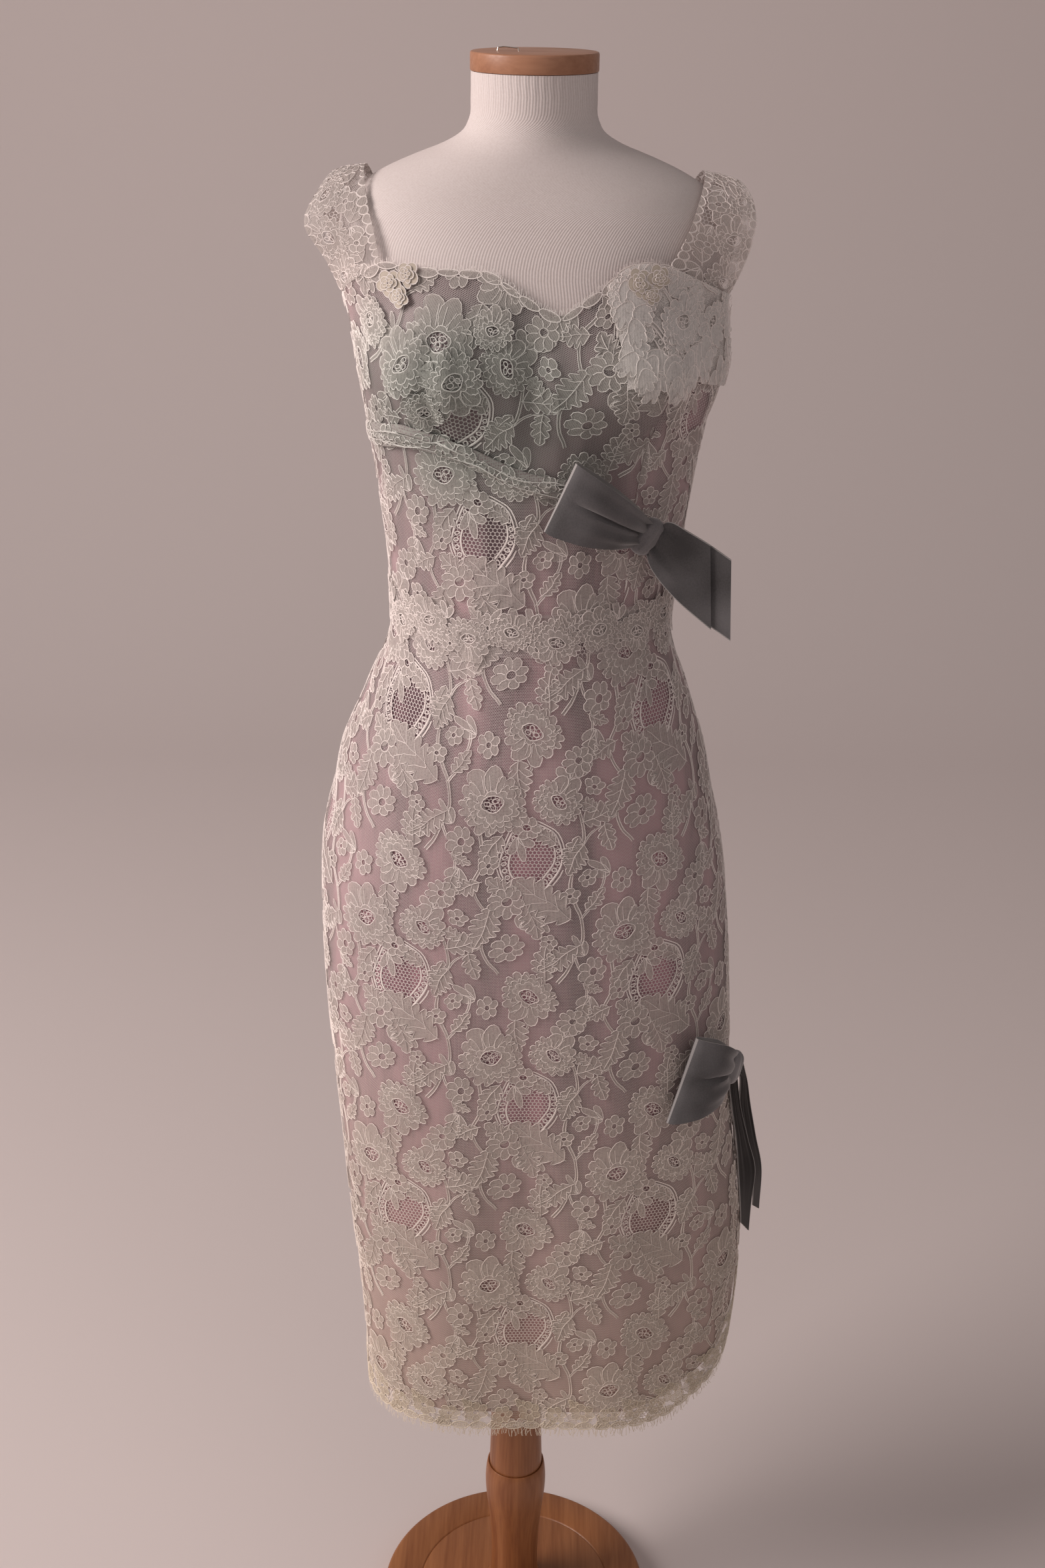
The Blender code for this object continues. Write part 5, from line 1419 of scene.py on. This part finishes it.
def layCupLace():
    panel = ("front", 30, 82, overlayLow, neckHeight)
    skin = skins["front"]
    angle, height = panelGrid(panel, 4 * mm)
    around = aroundAt(skin, angle, height)
    # it is gathered softly, so it stands up in low puffs
    puffs = np.sin(angle / 2.6 + height * 40) * np.sin(height * 260 + angle / 5)
    puffs += 0.6 * np.sin(angle / 1.5 - height * 90 + 1.0)
    grid = clothPoint(angle, height, (cupLace["rise"] * 0.7 + 0.9 + 0.55 * puffs) * mm)
    flat = toFlat(around, height, cupLace["origin"], cupLace["turn"])
    net = sheetPiece("cup_overlay_left_net", grid, flat, softNet)
    motifs = laidDrawing(
        "cup_overlay_left_motifs", laceRepeat, panelSurface(panel), 2.7, cupLace["origin"], cupLace["turn"],
        finishes=whitePaintedLightFinishes
    )
    d, high = newDrawing(), newDrawing()
    for k, (x, y, radius, turn) in enumerate(cupLace["roses"]):
        side = high if x > 0.05 else d
        addRose(side, (x * 1000, y * 1000), radius, turn, 16 + 2 * (k % 2), flip=bool(k % 2))
    for path in cupLace["ruffles"]:
        for k, (x, y) in enumerate(curveThrough(np.array(path) * 1000, 6.5)):
            turn = 200 + 50 * math.sin(2.4 * k)
            addPetal(high, (x, y), turn, 13 + 3 * (k % 3), 15 + 2 * (k % 2), 20 + 0.5 * (k % 5), 7, 0.16, 28)
    for x, y, radius in cupLace["ecru"]:
        side, spot = high if x > 0.05 else d, (x * 1000, y * 1000)
        for size, order in ((radius, 30), (radius * 0.66, 48)):
            for k in range(5):
                line = moved(petalLine(size, size * 1.1, 3, 0.12, 16), spot, 72 * k + order)
                addFill(side, line, order + k % 2, ecruwork)
                addCord(side, line, order + k % 2, 0.6, closed=True, ridge=False)
        addRosette(side, spot, radius * 0.4, 62, 5, kind=ecruwork)
    surface = panelSurface(("front", -89, 89, seamHeight, lambda a: neckHeight(a) + 0.006))
    roses = laidDrawing("cup_roses_right", merged(d), surface, 1.0, repeats=False)
    others = laidDrawing("cup_roses_left", merged(high), surface, 2.6, repeats=False, finishes=whitePaintedLightFinishes)
    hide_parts("cup_overlay_left")
    declareSheet(grid)
    onForm("lace", net, motifs, roses, others)


layCupLace()
print("waist and cup lace laid")

# ---- shoulder straps

straps = {
    "strap_right": (
        # inner x, y, z, outer x, y, z
        (-0.1125, -0.0615, 1.3800, -0.1520, -0.0290, 1.3580),
        (-0.1190, -0.0440, 1.4020, -0.1670, -0.0270, 1.3830),
        (-0.1235, -0.0140, 1.4190, -0.1560, -0.0130, 1.4060),
        (-0.1235, 0.0180, 1.4190, -0.1480, 0.0080, 1.4150),
        (-0.1195, 0.0500, 1.4030, -0.1600, 0.0290, 1.3960),
        (-0.1130, 0.0690, 1.3800, -0.1560, 0.0360, 1.3680),
    ),
    "strap_left": (
        (0.1100, -0.0640, 1.3820, 0.1560, -0.0290, 1.3580),
        (0.1190, -0.0465, 1.4020, 0.1630, -0.0280, 1.3840),
        (0.1255, -0.0140, 1.4165, 0.1610, -0.0130, 1.4020),
        (0.1255, 0.0180, 1.4170, 0.1540, 0.0080, 1.4110), (0.1200, 0.0500, 1.4020, 0.1590, 0.0290, 1.3930),
        (0.1130, 0.0690, 1.3800, 0.1560, 0.0360, 1.3680),
    ),
    "frontAngles": {"strap_right": (-58, -82), "strap_left": (53, 82)},
    "backAngles": {"strap_right": (230, 262), "strap_left": (130, 98)},
}


def through(points, steps):
    points = np.array(points, float)
    at = np.linspace(0, len(points) - 1, steps)
    return np.stack([smooth(at, np.arange(len(points)), points[:, k]) for k in range(points.shape[1])], -1)


def layStrap(name, flip):
    route = np.array(straps[name])
    share = np.linspace(0, 1, 22)
    first = straps["frontAngles"][name]
    last = straps["backAngles"][name]
    front = first[0] + (first[1] - first[0]) * share
    back = last[0] + (last[1] - last[0]) * share
    start = clothPoint(front, neckHeight(front), 0 * front - 0.5 * mm)
    end = clothPoint(back, neckHeight(back), 0 * back - 0.5 * mm, True)
    lines = []
    for k, at in enumerate(share):
        middle = route[:, :3] * (1 - at) + route[:, 3:] * at
        middle = middle + unit(middle - (0, 0, 1.33)) * 4 * at * (1 - at) * 2 * mm
        lines.append(through(np.concatenate([start[k : k + 1], middle, end[k : k + 1]]), 60))
    grid = np.stack(lines, 1)
    grid = grid[:, ::-1] if flip else grid
    surface = patchSurface(grid)
    wide, tall = surface["wide"], surface["tall"]
    across = np.linspace(0, wide, grid.shape[1])[None, :] + 0 * grid[..., 0]
    along = np.linspace(0, tall, grid.shape[0])[:, None] + 0 * grid[..., 0]
    net = sheetPiece(name + "_net", grid, np.stack([across, along], -1), laceNet)
    d = newDrawing()
    w, t = wide * 1000, tall * 1000
    outer = 0.70 * w if not flip else 0.30 * w
    inner = w - outer
    for k, at in enumerate(np.arange(8, t + 20, 34)):
        addRose(d, (outer, at), 19, 30 * k, 12 + k % 2, flip=flip)
        addLeaf(d, (inner, at + 6), 20 - 60 * (k % 2), 30, 19, 8, 4, veins=2)
        addRosette(d, (inner, at + 22), 8.5, 10, turn=20 * k)
        addSprig(d, (inner, at + 2), 150 + 30 * (k % 2), 0.9, order=7)
    for edge, side in ((0.8, 90), (w - 0.8, -90)):
        for at in np.arange(4, t - 3, 8.0):
            root = (edge - 5 * (1 if side < 0 else -1), at)
            scallop = moved(petalLine(7.5, 9.0, lobes=1, ruffle=0, points=14), root, side)
            addFill(d, scallop, 14)
            addCord(d, scallop, 14, 1.0, closed=True)
    motifs = laidDrawing(name + "_motifs", merged(d), surface, 0.2, repeats=False)
    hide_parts(name)
    declareSheet(grid)
    onForm("lace", net, motifs)


layStrap("strap_right", True)
layStrap("strap_left", False)

# ---- the rolled fold of lace under the bust

drape = {
    "halfWidth": 0.0090,
    "height": 4.6,  # mm
    "firstAngle": -88.5,
    "lastAngle": 46.0,
    "lift": 1.0,
    "taper": 0.2,  # share of its length over which it rises from the side seam
}


def layDrape():
    skin = skins["front"]
    along = np.linspace(0, 1, 150)
    angle = drape["firstAngle"] + (drape["lastAngle"] - drape["firstAngle"]) * along
    seam = smooth(angle, *np.array(dress["drapeSeam"], float).T)
    across = np.linspace(-1, 1, 33)
    a, u = np.meshgrid(angle, across, indexing="ij")
    s = along[:, None]
    # the roll narrows toward the bow and flattens into the side seam, and its creases run along it and cross
    # over slowly
    full = ease(s / drape["taper"])
    wide = drape["halfWidth"] * (1.0 - 0.15 * s + 0.06 * np.sin(9 * s)) * (0.7 + 0.3 * full)
    height = seam[:, None] + u * wide
    crown = np.sqrt(np.clip(1 - u**2, 0, 1)) ** 0.8
    creases = 0.55 * np.cos(u * 8.5 + 4.5 * s) + 0.35 * np.cos(u * 14 - 6 * s + 1.0)
    creases += 0.25 * np.sin(16 * s + 3 * u)
    rise = drape["lift"] * (0.3 + 0.7 * full) + crown * (drape["height"] - 1.0 + creases) * (0.1 + 0.9 * full)
    grid = clothPoint(a, height, rise * mm)
    grid = grid[:, ::-1]
    around = aroundAt(skin, a, height)[:, ::-1]
    flat = np.stack([around, height[:, ::-1]], -1)
    net = buildPiece("bust_drape_fold_net", grid, gridFaces(*grid.shape[:2]), flat, (foldedLace,))
    surface = patchSurface(grid)
    d = newDrawing()
    tall, w = surface["tall"] * 1000, surface["wide"] * 1000
    for k, at in enumerate(np.arange(6, tall, 17)):
        addLeaf(d, (w * (0.3 + 0.4 * (k % 2)), at), 20 - 50 * (k % 3), 24, 14, 6 + k % 2, 4, veins=2)
        addRosette(d, (w * (0.65 - 0.3 * (k % 2)), at + 9), 7.5, 9, turn=25 * k)
    for shift, phase in ((0.3, 0.0), (0.75, 3.0)):
        y = np.arange(0, tall, 4.0)
        line = np.stack([w * (shift + 0.07 * np.sin(y / 19 + phase)), y], 1)
        addCord(d, line, 10, 0.8)
    motifs = laidDrawing("bust_drape_fold_motifs", merged(d), surface, 0.1, repeats=False)
    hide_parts("bust_drape_fold")
    declareSheet(grid)
    onForm("lace", net, motifs)


foldedLace = makeFoldedLace()
layDrape()
print("straps and drape laid")


# ---- satin lining

def layLining(node, panel, far=None):
    skin = skins[panel[0]]
    angle, height = panelGrid(panel, dress["cell"] * 1.2 * mm)
    if far is not None:
        # below the top of the slit it stops short of the lace's edge; far is the edge that stays
        short = dress["liningShortOfSlit"] * ease((dress["slitTop"] + 0.03 - height) / 0.04)
        angle = far + (angle - far) * (1 - short / abs(far - 90))
    around = aroundAt(skin, angle, height)
    depth = dress["liningDepth"] * mm
    rise = foldRise(angle, height, dress["liningFolds"]) - depth
    outer = clothPoint(angle, height, rise, skin["rear"])
    inner = clothPoint(angle, height, rise - dress["liningWall"] * mm, skin["rear"])
    piece = shellPiece(node + "_satin", outer, inner, np.stack([around, height], -1), (pinkSatin,))
    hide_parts(node)
    declareSheet(outer, around=around)
    onForm("satin", piece)


def liningHem(angle):
    return hemHeight(angle) + dress["liningShort"] * mm


layLining("skirt_lining_front", ("front", -90, 90, liningHem, waistHeight), -90)
layLining("skirt_lining_back_left", ("back", 90, -1, liningHem, waistHeight), 180)
layLining("skirt_lining_back_right", ("back", 1, 270, liningHem, waistHeight))
layLining("bodice_lining_front", ("front", -90, 90, waistHeight, neckHeight))
layLining("bodice_lining_back_left", ("back", 90, -1, waistHeight, neckHeight))
layLining("bodice_lining_back_right", ("back", 1, 270, waistHeight, neckHeight))
print("lining laid")

# ---- velvet bows

bows = {
    "ribbonWall": 0.9,  # mm
    "selvedge": 0.7,  # mm of satin along the ribbon's edges
    "knotHalf": (0.0100, 0.0160, 0.0080),
    "loopRows": (
        # share of the length, out from the middle, shares of the half width above and below it
        (0.00, -0.0022, 0.42, 0.42), (0.30, -0.0030, 0.70, 0.66), (0.65, -0.0036, 0.94, 0.88),
        (0.93, -0.0036, 1.00, 1.00), (1.00, 0.0004, 1.00, 1.00), (0.93, 0.0052, 1.00, 0.96),
        (0.65, 0.0085, 0.94, 0.76), (0.30, 0.0070, 0.70, 0.54), (0.00, 0.0024, 0.42, 0.40),
    ),
    "top_bow": {
        "angle": 50.3,
        "tailFinish": velvet,
        "tailLift": 0.0018,  # of the front tail; the back tail is as far the other way
        "height": 1.1650,
        "lift": 1.5 * mm,
        "arch": 0.008,
        "upper": (17.6, 1.2350, 0.0180),
        "lower": (5.9, 1.1795, 0.0180),
        "tail_front": (
            (0.1070, -0.0825, 1.1770, 0.0945, -0.0840, 1.1380),
            (0.1210, -0.0835, 1.1692, 0.1130, -0.0840, 1.1160),
            (0.1374, -0.0815, 1.1590, 0.1408, -0.0820, 1.0922),
        ),
        "tail_back": (
            (0.1080, -0.0735, 1.1740, 0.0970, -0.0740, 1.1340),
            (0.1300, -0.0777, 1.1625, 0.1189, -0.0768, 1.1090),
            (0.1534, -0.0828, 1.1478, 0.1564, -0.0828, 1.0836),
        ),
    },
    "slit_bow": {
        "angle": 73.6,
        "tailFinish": tailPaintedShadeVelvet,  # painted shade: a darker copy of the velvet, for tails that hang in shade
        "tailLift": -0.0018,
        "height": 0.6825,
        "lift": 1.0 * mm,
        "arch": 0.011,
        "upper": (58.9, 0.7350, 0.0150),
        "lower": (50.0, 0.6625, 0.0150),
        "tail_front": (
            (0.1895, -0.0290, 0.6600, 0.1815, -0.0460, 0.6655),
            (0.1950, -0.0240, 0.6230, 0.1868, -0.0430, 0.6330),
            (0.2045, -0.0200, 0.5863, 0.1932, -0.0410, 0.5975),
            (0.2148, -0.0160, 0.5511, 0.1972, -0.0410, 0.5576),
            (0.2138, -0.0180, 0.5173, 0.1990, -0.0410, 0.5316),
            (0.2125, -0.0200, 0.4845, 0.2000, -0.0410, 0.5096),
        ),
        "tail_back": (
            (0.2019, -0.0006, 0.6380, 0.1944, -0.0221, 0.6520),
            (0.2082, 0.0080, 0.6041, 0.1975, -0.0140, 0.6141),
            (0.2164, 0.0120, 0.5690, 0.2045, -0.0110, 0.5779),
            (0.2256, 0.0140, 0.5301, 0.2135, -0.0090, 0.5373),
            (0.2256, 0.0140, 0.4844, 0.2140, -0.0100, 0.5063),
        ),
    },
}


def layRibbon(name, edges, steps, outward, gather, isLoop, finish, slit=0.0):
    # a velvet ribbon along two edges, pleated where the knot holds it
    rows = through(edges, steps)
    width = float(np.linalg.norm(rows[steps // 2, 3:] - rows[steps // 2, :3])) * 1000
    selvedge = bows["selvedge"] / width
    share = np.concatenate([[0], np.linspace(selvedge, 1 - selvedge, 27), [1]])
    middle = rows[:, None, :3] * (1 - share)[None, :, None] + rows[:, None, 3:] * share[None, :, None]
    normals = unit(np.cross(np.gradient(middle, axis=0), np.gradient(middle, axis=1)))
    at = np.linspace(0, 1, steps)[:, None]
    probe = normals[int(steps * 0.8), len(share) // 2]
    sign = 1.0 if probe @ outward > 0 else -1.0
    near = np.abs(2 * at - 1) ** 1.6 if isLoop else (1 - at) ** 2.0
    u = share[None, :]
    pleats = np.cos(2 * math.pi * (2.4 * u + 0.12)) + 0.5 * np.cos(2 * math.pi * (4.3 * u - 0.2))
    depth = gather * mm * near * pleats
    if slit:
        # one deep pleat in the front of the loop
        middleLine = 0.47 + 0.10 * (at - 0.7)
        depth = depth - slit * mm * np.exp(-(((u - middleLine) / 0.036) ** 2)) * ease((at - 0.58) / 0.26)
    soft = (0.8 if isLoop else 1.3) * mm * np.sin(2 * math.pi * (0.9 * at + 0.3 * u)) * (1 - near)
    middle = middle + normals * sign * (depth + soft)[..., None]
    normals = unit(np.cross(np.gradient(middle, axis=0), np.gradient(middle, axis=1))) * sign
    half = bows["ribbonWall"] * mm / 2
    outer, inner = middle + normals * half, middle - normals * half
    if sign > 0:
        outer, inner = outer.transpose(1, 0, 2), inner.transpose(1, 0, 2)
    along = np.linspace(0, 1, steps)[:, None] + 0 * middle[..., 0]
    across = u + 0 * middle[..., 0]
    length = float(np.linalg.norm(np.diff(rows[:, :3], axis=0), axis=1).sum())
    flat = np.stack([across * width * mm, along * length], -1)
    if sign > 0:
        flat = flat.transpose(1, 0, 2)
    piece = shellPiece(name + "_ribbon", outer, inner, flat, (finish, paleSatin))
    # the satin back shows along a tail's edges, and where a loop folds over
    columns = outer.shape[1]
    faces = (outer.shape[0] - 1) * (columns - 1)
    kinds = np.zeros(len(piece.data.polygons), np.int32)
    piece.data.polygons.foreach_get("material_index", kinds)
    cells = np.stack([np.arange(faces) // (columns - 1), np.arange(faces) % (columns - 1)])
    across, along = cells if sign > 0 else cells[::-1]
    edge = (across == 0) | (across == len(share) - 2)
    if isLoop:
        edge = np.abs(along + 0.5 - (steps - 1) / 2) < 1.6
    kinds[:faces][edge] = 1
    piece.data.polygons.foreach_set("material_index", kinds)
    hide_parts(name)
    declareSheet(outer)
    onForm("velvet", piece)


def layBow(prefix):
    bow = bows[prefix]
    wide, tall, deep = bows["knotHalf"]
    middle = dressPoint(bow["angle"], bow["height"])
    normal = dressNormal(bow["angle"], bow["height"])
    centre = middle + normal * (deep + bow["lift"])
    ends = []
    for angle, height, off in (bow["upper"], bow["lower"]):
        ends.append(dressPoint(angle, height) + dressNormal(angle, height) * off)
    along = unit((ends[0] + ends[1]) / 2 - centre)
    across = ends[0] - ends[1]
    across = unit(across - along * (across @ along))
    out = np.cross(along, across)
    out = out if out @ normal > 0 else -out
    reach = ((ends[0] + ends[1]) / 2 - centre) @ along
    half = (ends[0] - ends[1]) / 2
    start = wide * 0.55
    edges = []
    for share, off, above, below in bows["loopRows"]:
        rise = off + bow["arch"] * 4 * share * (1 - share)
        spot = centre + along * (start + (reach - start) * share) + out * rise
        spread = half if share > 0.5 else across * np.linalg.norm(half)
        edges.append(np.concatenate([spot + spread * above, spot - spread * below]))
    layRibbon(prefix + "_loop", edges, 73, out, 1.5, True, velvet, slit=6.5)
    for tail, off in (("tail_front", bow["tailLift"]), ("tail_back", -bow["tailLift"])):
        spot = centre - along * start + out * off
        first = np.concatenate([spot + across * 0.0110, spot - across * 0.0110])
        rows = np.concatenate([[first], np.array(bow[tail])])
        layRibbon(prefix + "_" + tail, rows, 45, out, 1.3, False, bow["tailFinish"])
    # the knot: a short ribbon drawn round the middle, creased along its length
    levels = np.linspace(-1, 1, 29)
    turn = np.arange(56) * 2 * math.pi / 56
    l, t = np.meshgrid(levels, turn, indexing="ij")
    tight = np.sqrt(np.clip(1 - np.abs(l) ** 3.4, 0.0, 1)) * 0.97 + 0.03
    crease = 1 + 0.05 * np.cos(5 * t + 1.4 * l) * (1 - l**4) + 0.03 * np.cos(9 * t - 2 * l + 0.6)
    local = np.stack([wide * tight * crease * np.cos(t), tall * l, deep * tight * crease * np.sin(t)], -1)
    grid = centre + local @ np.stack([along, across, out])
    rows, columns = grid.shape[:2]
    k = (np.arange(rows - 1)[:, None] * columns + np.arange(columns)[None, :]).ravel()
    j = (np.arange(rows - 1)[:, None] * columns + (np.arange(columns)[None, :] + 1) % columns).ravel()
    points = np.concatenate([grid.reshape(-1, 3), [grid[0].mean(0)], [grid[-1].mean(0)]])
    a = np.arange(columns)
    b = (a + 1) % columns
    bottom = np.stack([b, a, np.full(columns, rows * columns)], 1)
    top = np.stack([a, b, np.full(columns, 1)], 1) + (rows - 1) * columns
    top[:, 2] = rows * columns + 1
    faces = np.concatenate([halved(k, j, j + columns, k + columns), bottom, top])
    if np.cross(along, across) @ out < 0:
        faces = faces[:, ::-1]
    flat = np.concatenate([np.stack([t, l], -1).reshape(-1, 2) * 0.01, [[0, 0], [0, 0]]])
    knot = buildPiece(prefix + "_knot_ribbon", points, faces, flat, (knotPaintedLightVelvet,))
    turnOutward(knot)
    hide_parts(prefix + "_knot")
    onForm("velvet", knot)


def turnOutward(piece, weld=0.0):
    # makes a closed piece's faces point outward, once points nearer than weld are joined
    bpy.ops.object.select_all(action="DESELECT")
    bpy.context.view_layer.objects.active = piece
    piece.select_set(True)
    bpy.ops.object.mode_set(mode="EDIT")
    bpy.ops.mesh.select_all(action="SELECT")
    if weld:
        bpy.ops.mesh.remove_doubles(threshold=weld)
    bpy.ops.mesh.normals_make_consistent(inside=False)
    bpy.ops.object.mode_set(mode="OBJECT")


layBow("top_bow")
layBow("slit_bow")
print("bows tied")

# ---- the form's jersey

def layJersey():
    sides = form["sides"]
    turn = np.arange(sides) * 360 / sides - 180
    levels = ((0.770, 1.36, 90), (1.366, 1.45, 34), (1.455, 1.488, 10))
    heights = np.concatenate([np.linspace(*level) for level in levels])
    a, z = np.meshgrid(turn, heights, indexing="ij")
    a, z = a.T, z.T
    grid = formPoint(a, z)
    # gathers where the knit is drawn in under the cap
    out = unit(grid * (1, 1, 0))
    gathers = np.cos(np.radians(a) * 46) + 0.5 * np.cos(np.radians(a) * 71)
    grid = grid + out * (0.25 * mm * ease((z - 1.455) / 0.03) * gathers)[..., None]
    grid[0] = grid[0] * (0.985, 0.985, 1)
    steps = np.linalg.norm(np.diff(np.concatenate([grid, grid[:, :1]], 1), axis=1), axis=2)
    around = np.concatenate([0 * z[:, :1], np.cumsum(steps, 1)], 1)
    lines = np.concatenate([grid, grid[:, :1]], 1)
    hole = form["postHole"]
    rim = np.stack([hole * np.sin(np.radians(turn)), -hole * np.cos(np.radians(turn)), 0 * turn], -1)
    rim = np.concatenate([rim, rim[:1]])
    low, roof = rim + (0, 0, 0.770), rim + (0, 0, form["postTop"])
    points = np.concatenate([roof[None], low[None], lines])
    flat = np.stack([np.concatenate([around[:1] * 0.3, around[:1] * 0.3, around]), points[..., 2]], -1)
    rows, columns = points.shape[:2]
    caps = np.array([[0.0, 0.0, form["postTop"]], [0.0, 0.0, 1.488]])
    k = np.arange(columns - 1)
    below = np.stack([k + 1, k, np.full(columns - 1, rows * columns)], 1)
    above = np.stack([k, k + 1, np.full(columns - 1, 0)], 1) + (rows - 1) * columns
    above[:, 2] = rows * columns + 1
    everything = np.concatenate([points.reshape(-1, 3), caps])
    triangles = np.concatenate([halved(*gridFaces(rows, columns).T), below, above])
    uv = np.concatenate([flat.reshape(-1, 2), [[0, 0], [0, 0]]])
    piece = buildPiece("form_torso_jersey", everything, triangles, uv, (jersey,))
    turnOutward(piece, weld=0.01 * mm)
    piece.data.set_sharp_from_angle(angle=math.radians(50))
    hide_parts("form_torso")
    onForm("jersey", piece)


layJersey()
print("form covered")

# ---- turned wood

stand = {
    "sides": 128,
    "base": (
        # radius, height
        (0.1308, 0.0), (0.1324, 0.0008), (0.1330, 0.0022), (0.1330, 0.0205), (0.1326, 0.0226),
        (0.1314, 0.0242), (0.1296, 0.0250), (0.0976, 0.0250), (0.0970, 0.0248), (0.0960, 0.0239),
        (0.0950, 0.0248), (0.0944, 0.0250), (0.0310, 0.0250),
    ),
    "column": (
        (0.0310, 0.0253), (0.0305, 0.0300), (0.0250, 0.0400), (0.0238, 0.0520), (0.0235, 0.0850),
        (0.0262, 0.1270), (0.0293, 0.1580), (0.0297, 0.1680), (0.0288, 0.1830), (0.0278, 0.1893),
    ),
    "socket": (
        (0.0272, 0.1900), (0.0266, 0.1900), (0.0262, 0.1897), (0.0262, 0.1677), (0.0154, 0.1677),
        (0.0154, 0.0997),
    ),
    "post": (
        (0.0150, 0.1000), (0.0150, 0.1680), (0.0258, 0.1680), (0.0258, 0.1900), (0.0255, 0.2020),
        (0.0249, 0.2200), (0.0245, 0.2400), (0.0245, 0.5000), (0.0245, 0.8345),
    ),
    "cap": (
        (0.0460, 1.4883), (0.0466, 1.4886), (0.0468, 1.4892), (0.0468, 1.5001), (0.0466, 1.5008),
        (0.0461, 1.5014), (0.0454, 1.5016), (0.0150, 1.5016),
    ),
}


def turnPiece(name, node, profile, finish, body):
    # a disc drawn up along its profile, as on a lathe
    bpy.ops.object.select_all(action="DESELECT")
    radius, height = profile[0]
    bpy.ops.mesh.primitive_circle_add(vertices=stand["sides"], radius=radius, location=(0, 0, height))
    piece = bpy.context.object
    piece.name = piece.data.name = name
    bpy.ops.object.mode_set(mode="EDIT")
    bpy.ops.mesh.select_all(action="SELECT")
    for nextRadius, nextHeight in profile[1:]:
        bpy.ops.mesh.extrude_region_move(TRANSFORM_OT_translate={"value": (0, 0, nextHeight - height)})
        size = nextRadius / radius
        bpy.ops.transform.resize(value=(size, size, 1), center_override=(0, 0, nextHeight))
        radius, height = nextRadius, nextHeight
    bpy.ops.mesh.select_all(action="SELECT")
    bpy.ops.mesh.fill_holes(sides=0)
    bpy.ops.mesh.normals_make_consistent(inside=False)
    bpy.ops.object.mode_set(mode="OBJECT")
    bpy.ops.object.transform_apply(location=True)
    bpy.ops.object.shade_smooth_by_angle(angle=math.radians(38))
    piece.data.materials.append(finish)
    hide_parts(node)
    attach(piece, body)


baseWood = makeWood("varnishedAlderBase", "#a97045", "#85502c", (1.0, 0.05, 1.0))
postWood = makeWood("varnishedAlderPost", "#a66d43", "#814c2b", (1.0, 1.0, 0.05))
capWood = makeWood("varnishedBeechCap", "#bb8a6d", "#a37256", (0.05, 1.0, 1.0))
columnHeights = np.linspace(stand["column"][0][1], stand["column"][-1][1], 26)
columnRows = np.array(stand["column"])
columnProfile = tuple(zip(smooth(columnHeights, columnRows[:, 1], columnRows[:, 0]), columnHeights))
turnPiece("stand_base_wood", "stand_base", stand["base"], baseWood, "stand")
turnPiece("stand_column_wood", "stand_column", columnProfile + stand["socket"], postWood, "stand")
turnPiece("form_post_wood", "form_post", stand["post"], postWood, "form")
turnPiece("neck_cap_wood", "neck_cap", stand["cap"], capWood, "form")
print("wood turned")

# ---- the zip at the centre back

zipper = {
    "toothPitch": 1.5,  # mm
    "toothSize": (1.7, 0.6, 0.75),
    "tapeHalf": 0.0032,
}


def layZip():
    heights = np.linspace(dress["zipBottom"] + 0.0003, dress["zipTop"], 60)
    lines = []
    for share in np.linspace(1, -1, 9):
        spot = dressPoint(180.0, heights, True)
        aside = np.array([share * zipper["tapeHalf"], -0.0009 - 0.0004 * abs(share), 0])
        lines.append(spot * (0, 1, 1) + aside)
    grid = np.stack(lines, 1)
    across = np.linspace(0, 2 * zipper["tapeHalf"], 9)[None, :] + 0 * grid[..., 0]
    flat = np.stack([across, grid[..., 2]], -1)
    tape = sheetPiece("zip_tape_cloth", grid, flat, zipCloth)
    bpy.ops.object.select_all(action="DESELECT")
    bpy.ops.mesh.primitive_cube_add(size=1)
    tooth = bpy.context.object
    tooth.scale = [k * mm for k in zipper["toothSize"]]
    bpy.ops.object.transform_apply(scale=True)
    corners = np.array([v.co for v in tooth.data.vertices])
    quads = np.array([list(p.vertices) for p in tooth.data.polygons])
    bpy.data.objects.remove(tooth)
    rows = np.arange(dress["zipBottom"] + 0.002, dress["zipTop"] - 0.001, zipper["toothPitch"] * mm)
    spots = dressPoint(180.0, rows, True) * (0, 1, 1)
    spots[:, 0] = 0.0004 * (-1.0) ** np.arange(len(rows))
    spots[:, 1] -= 0.0006
    points = (spots[:, None, :] + corners[None]).reshape(-1, 3)
    faces = (quads[None] + 8 * np.arange(len(rows))[:, None, None]).reshape(-1, 4)
    teeth = buildPiece("zip_teeth", points, faces, points[:, [0, 2]], (metal,))
    teeth.data.set_sharp_from_angle(angle=math.radians(30))
    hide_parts("zip_tape")
    # 6.4 mm of the tape's width show; a sheet can't be stated as less than 10 mm wide, so its area says that
    onForm("zip_cloth", tape)
    onForm("metal", teeth)


layZip()
for node in ("zip_slider", "zip_pull", "cap_staple"):
    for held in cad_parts[node].material_slots:
        held.material = metal
print("zip laid")
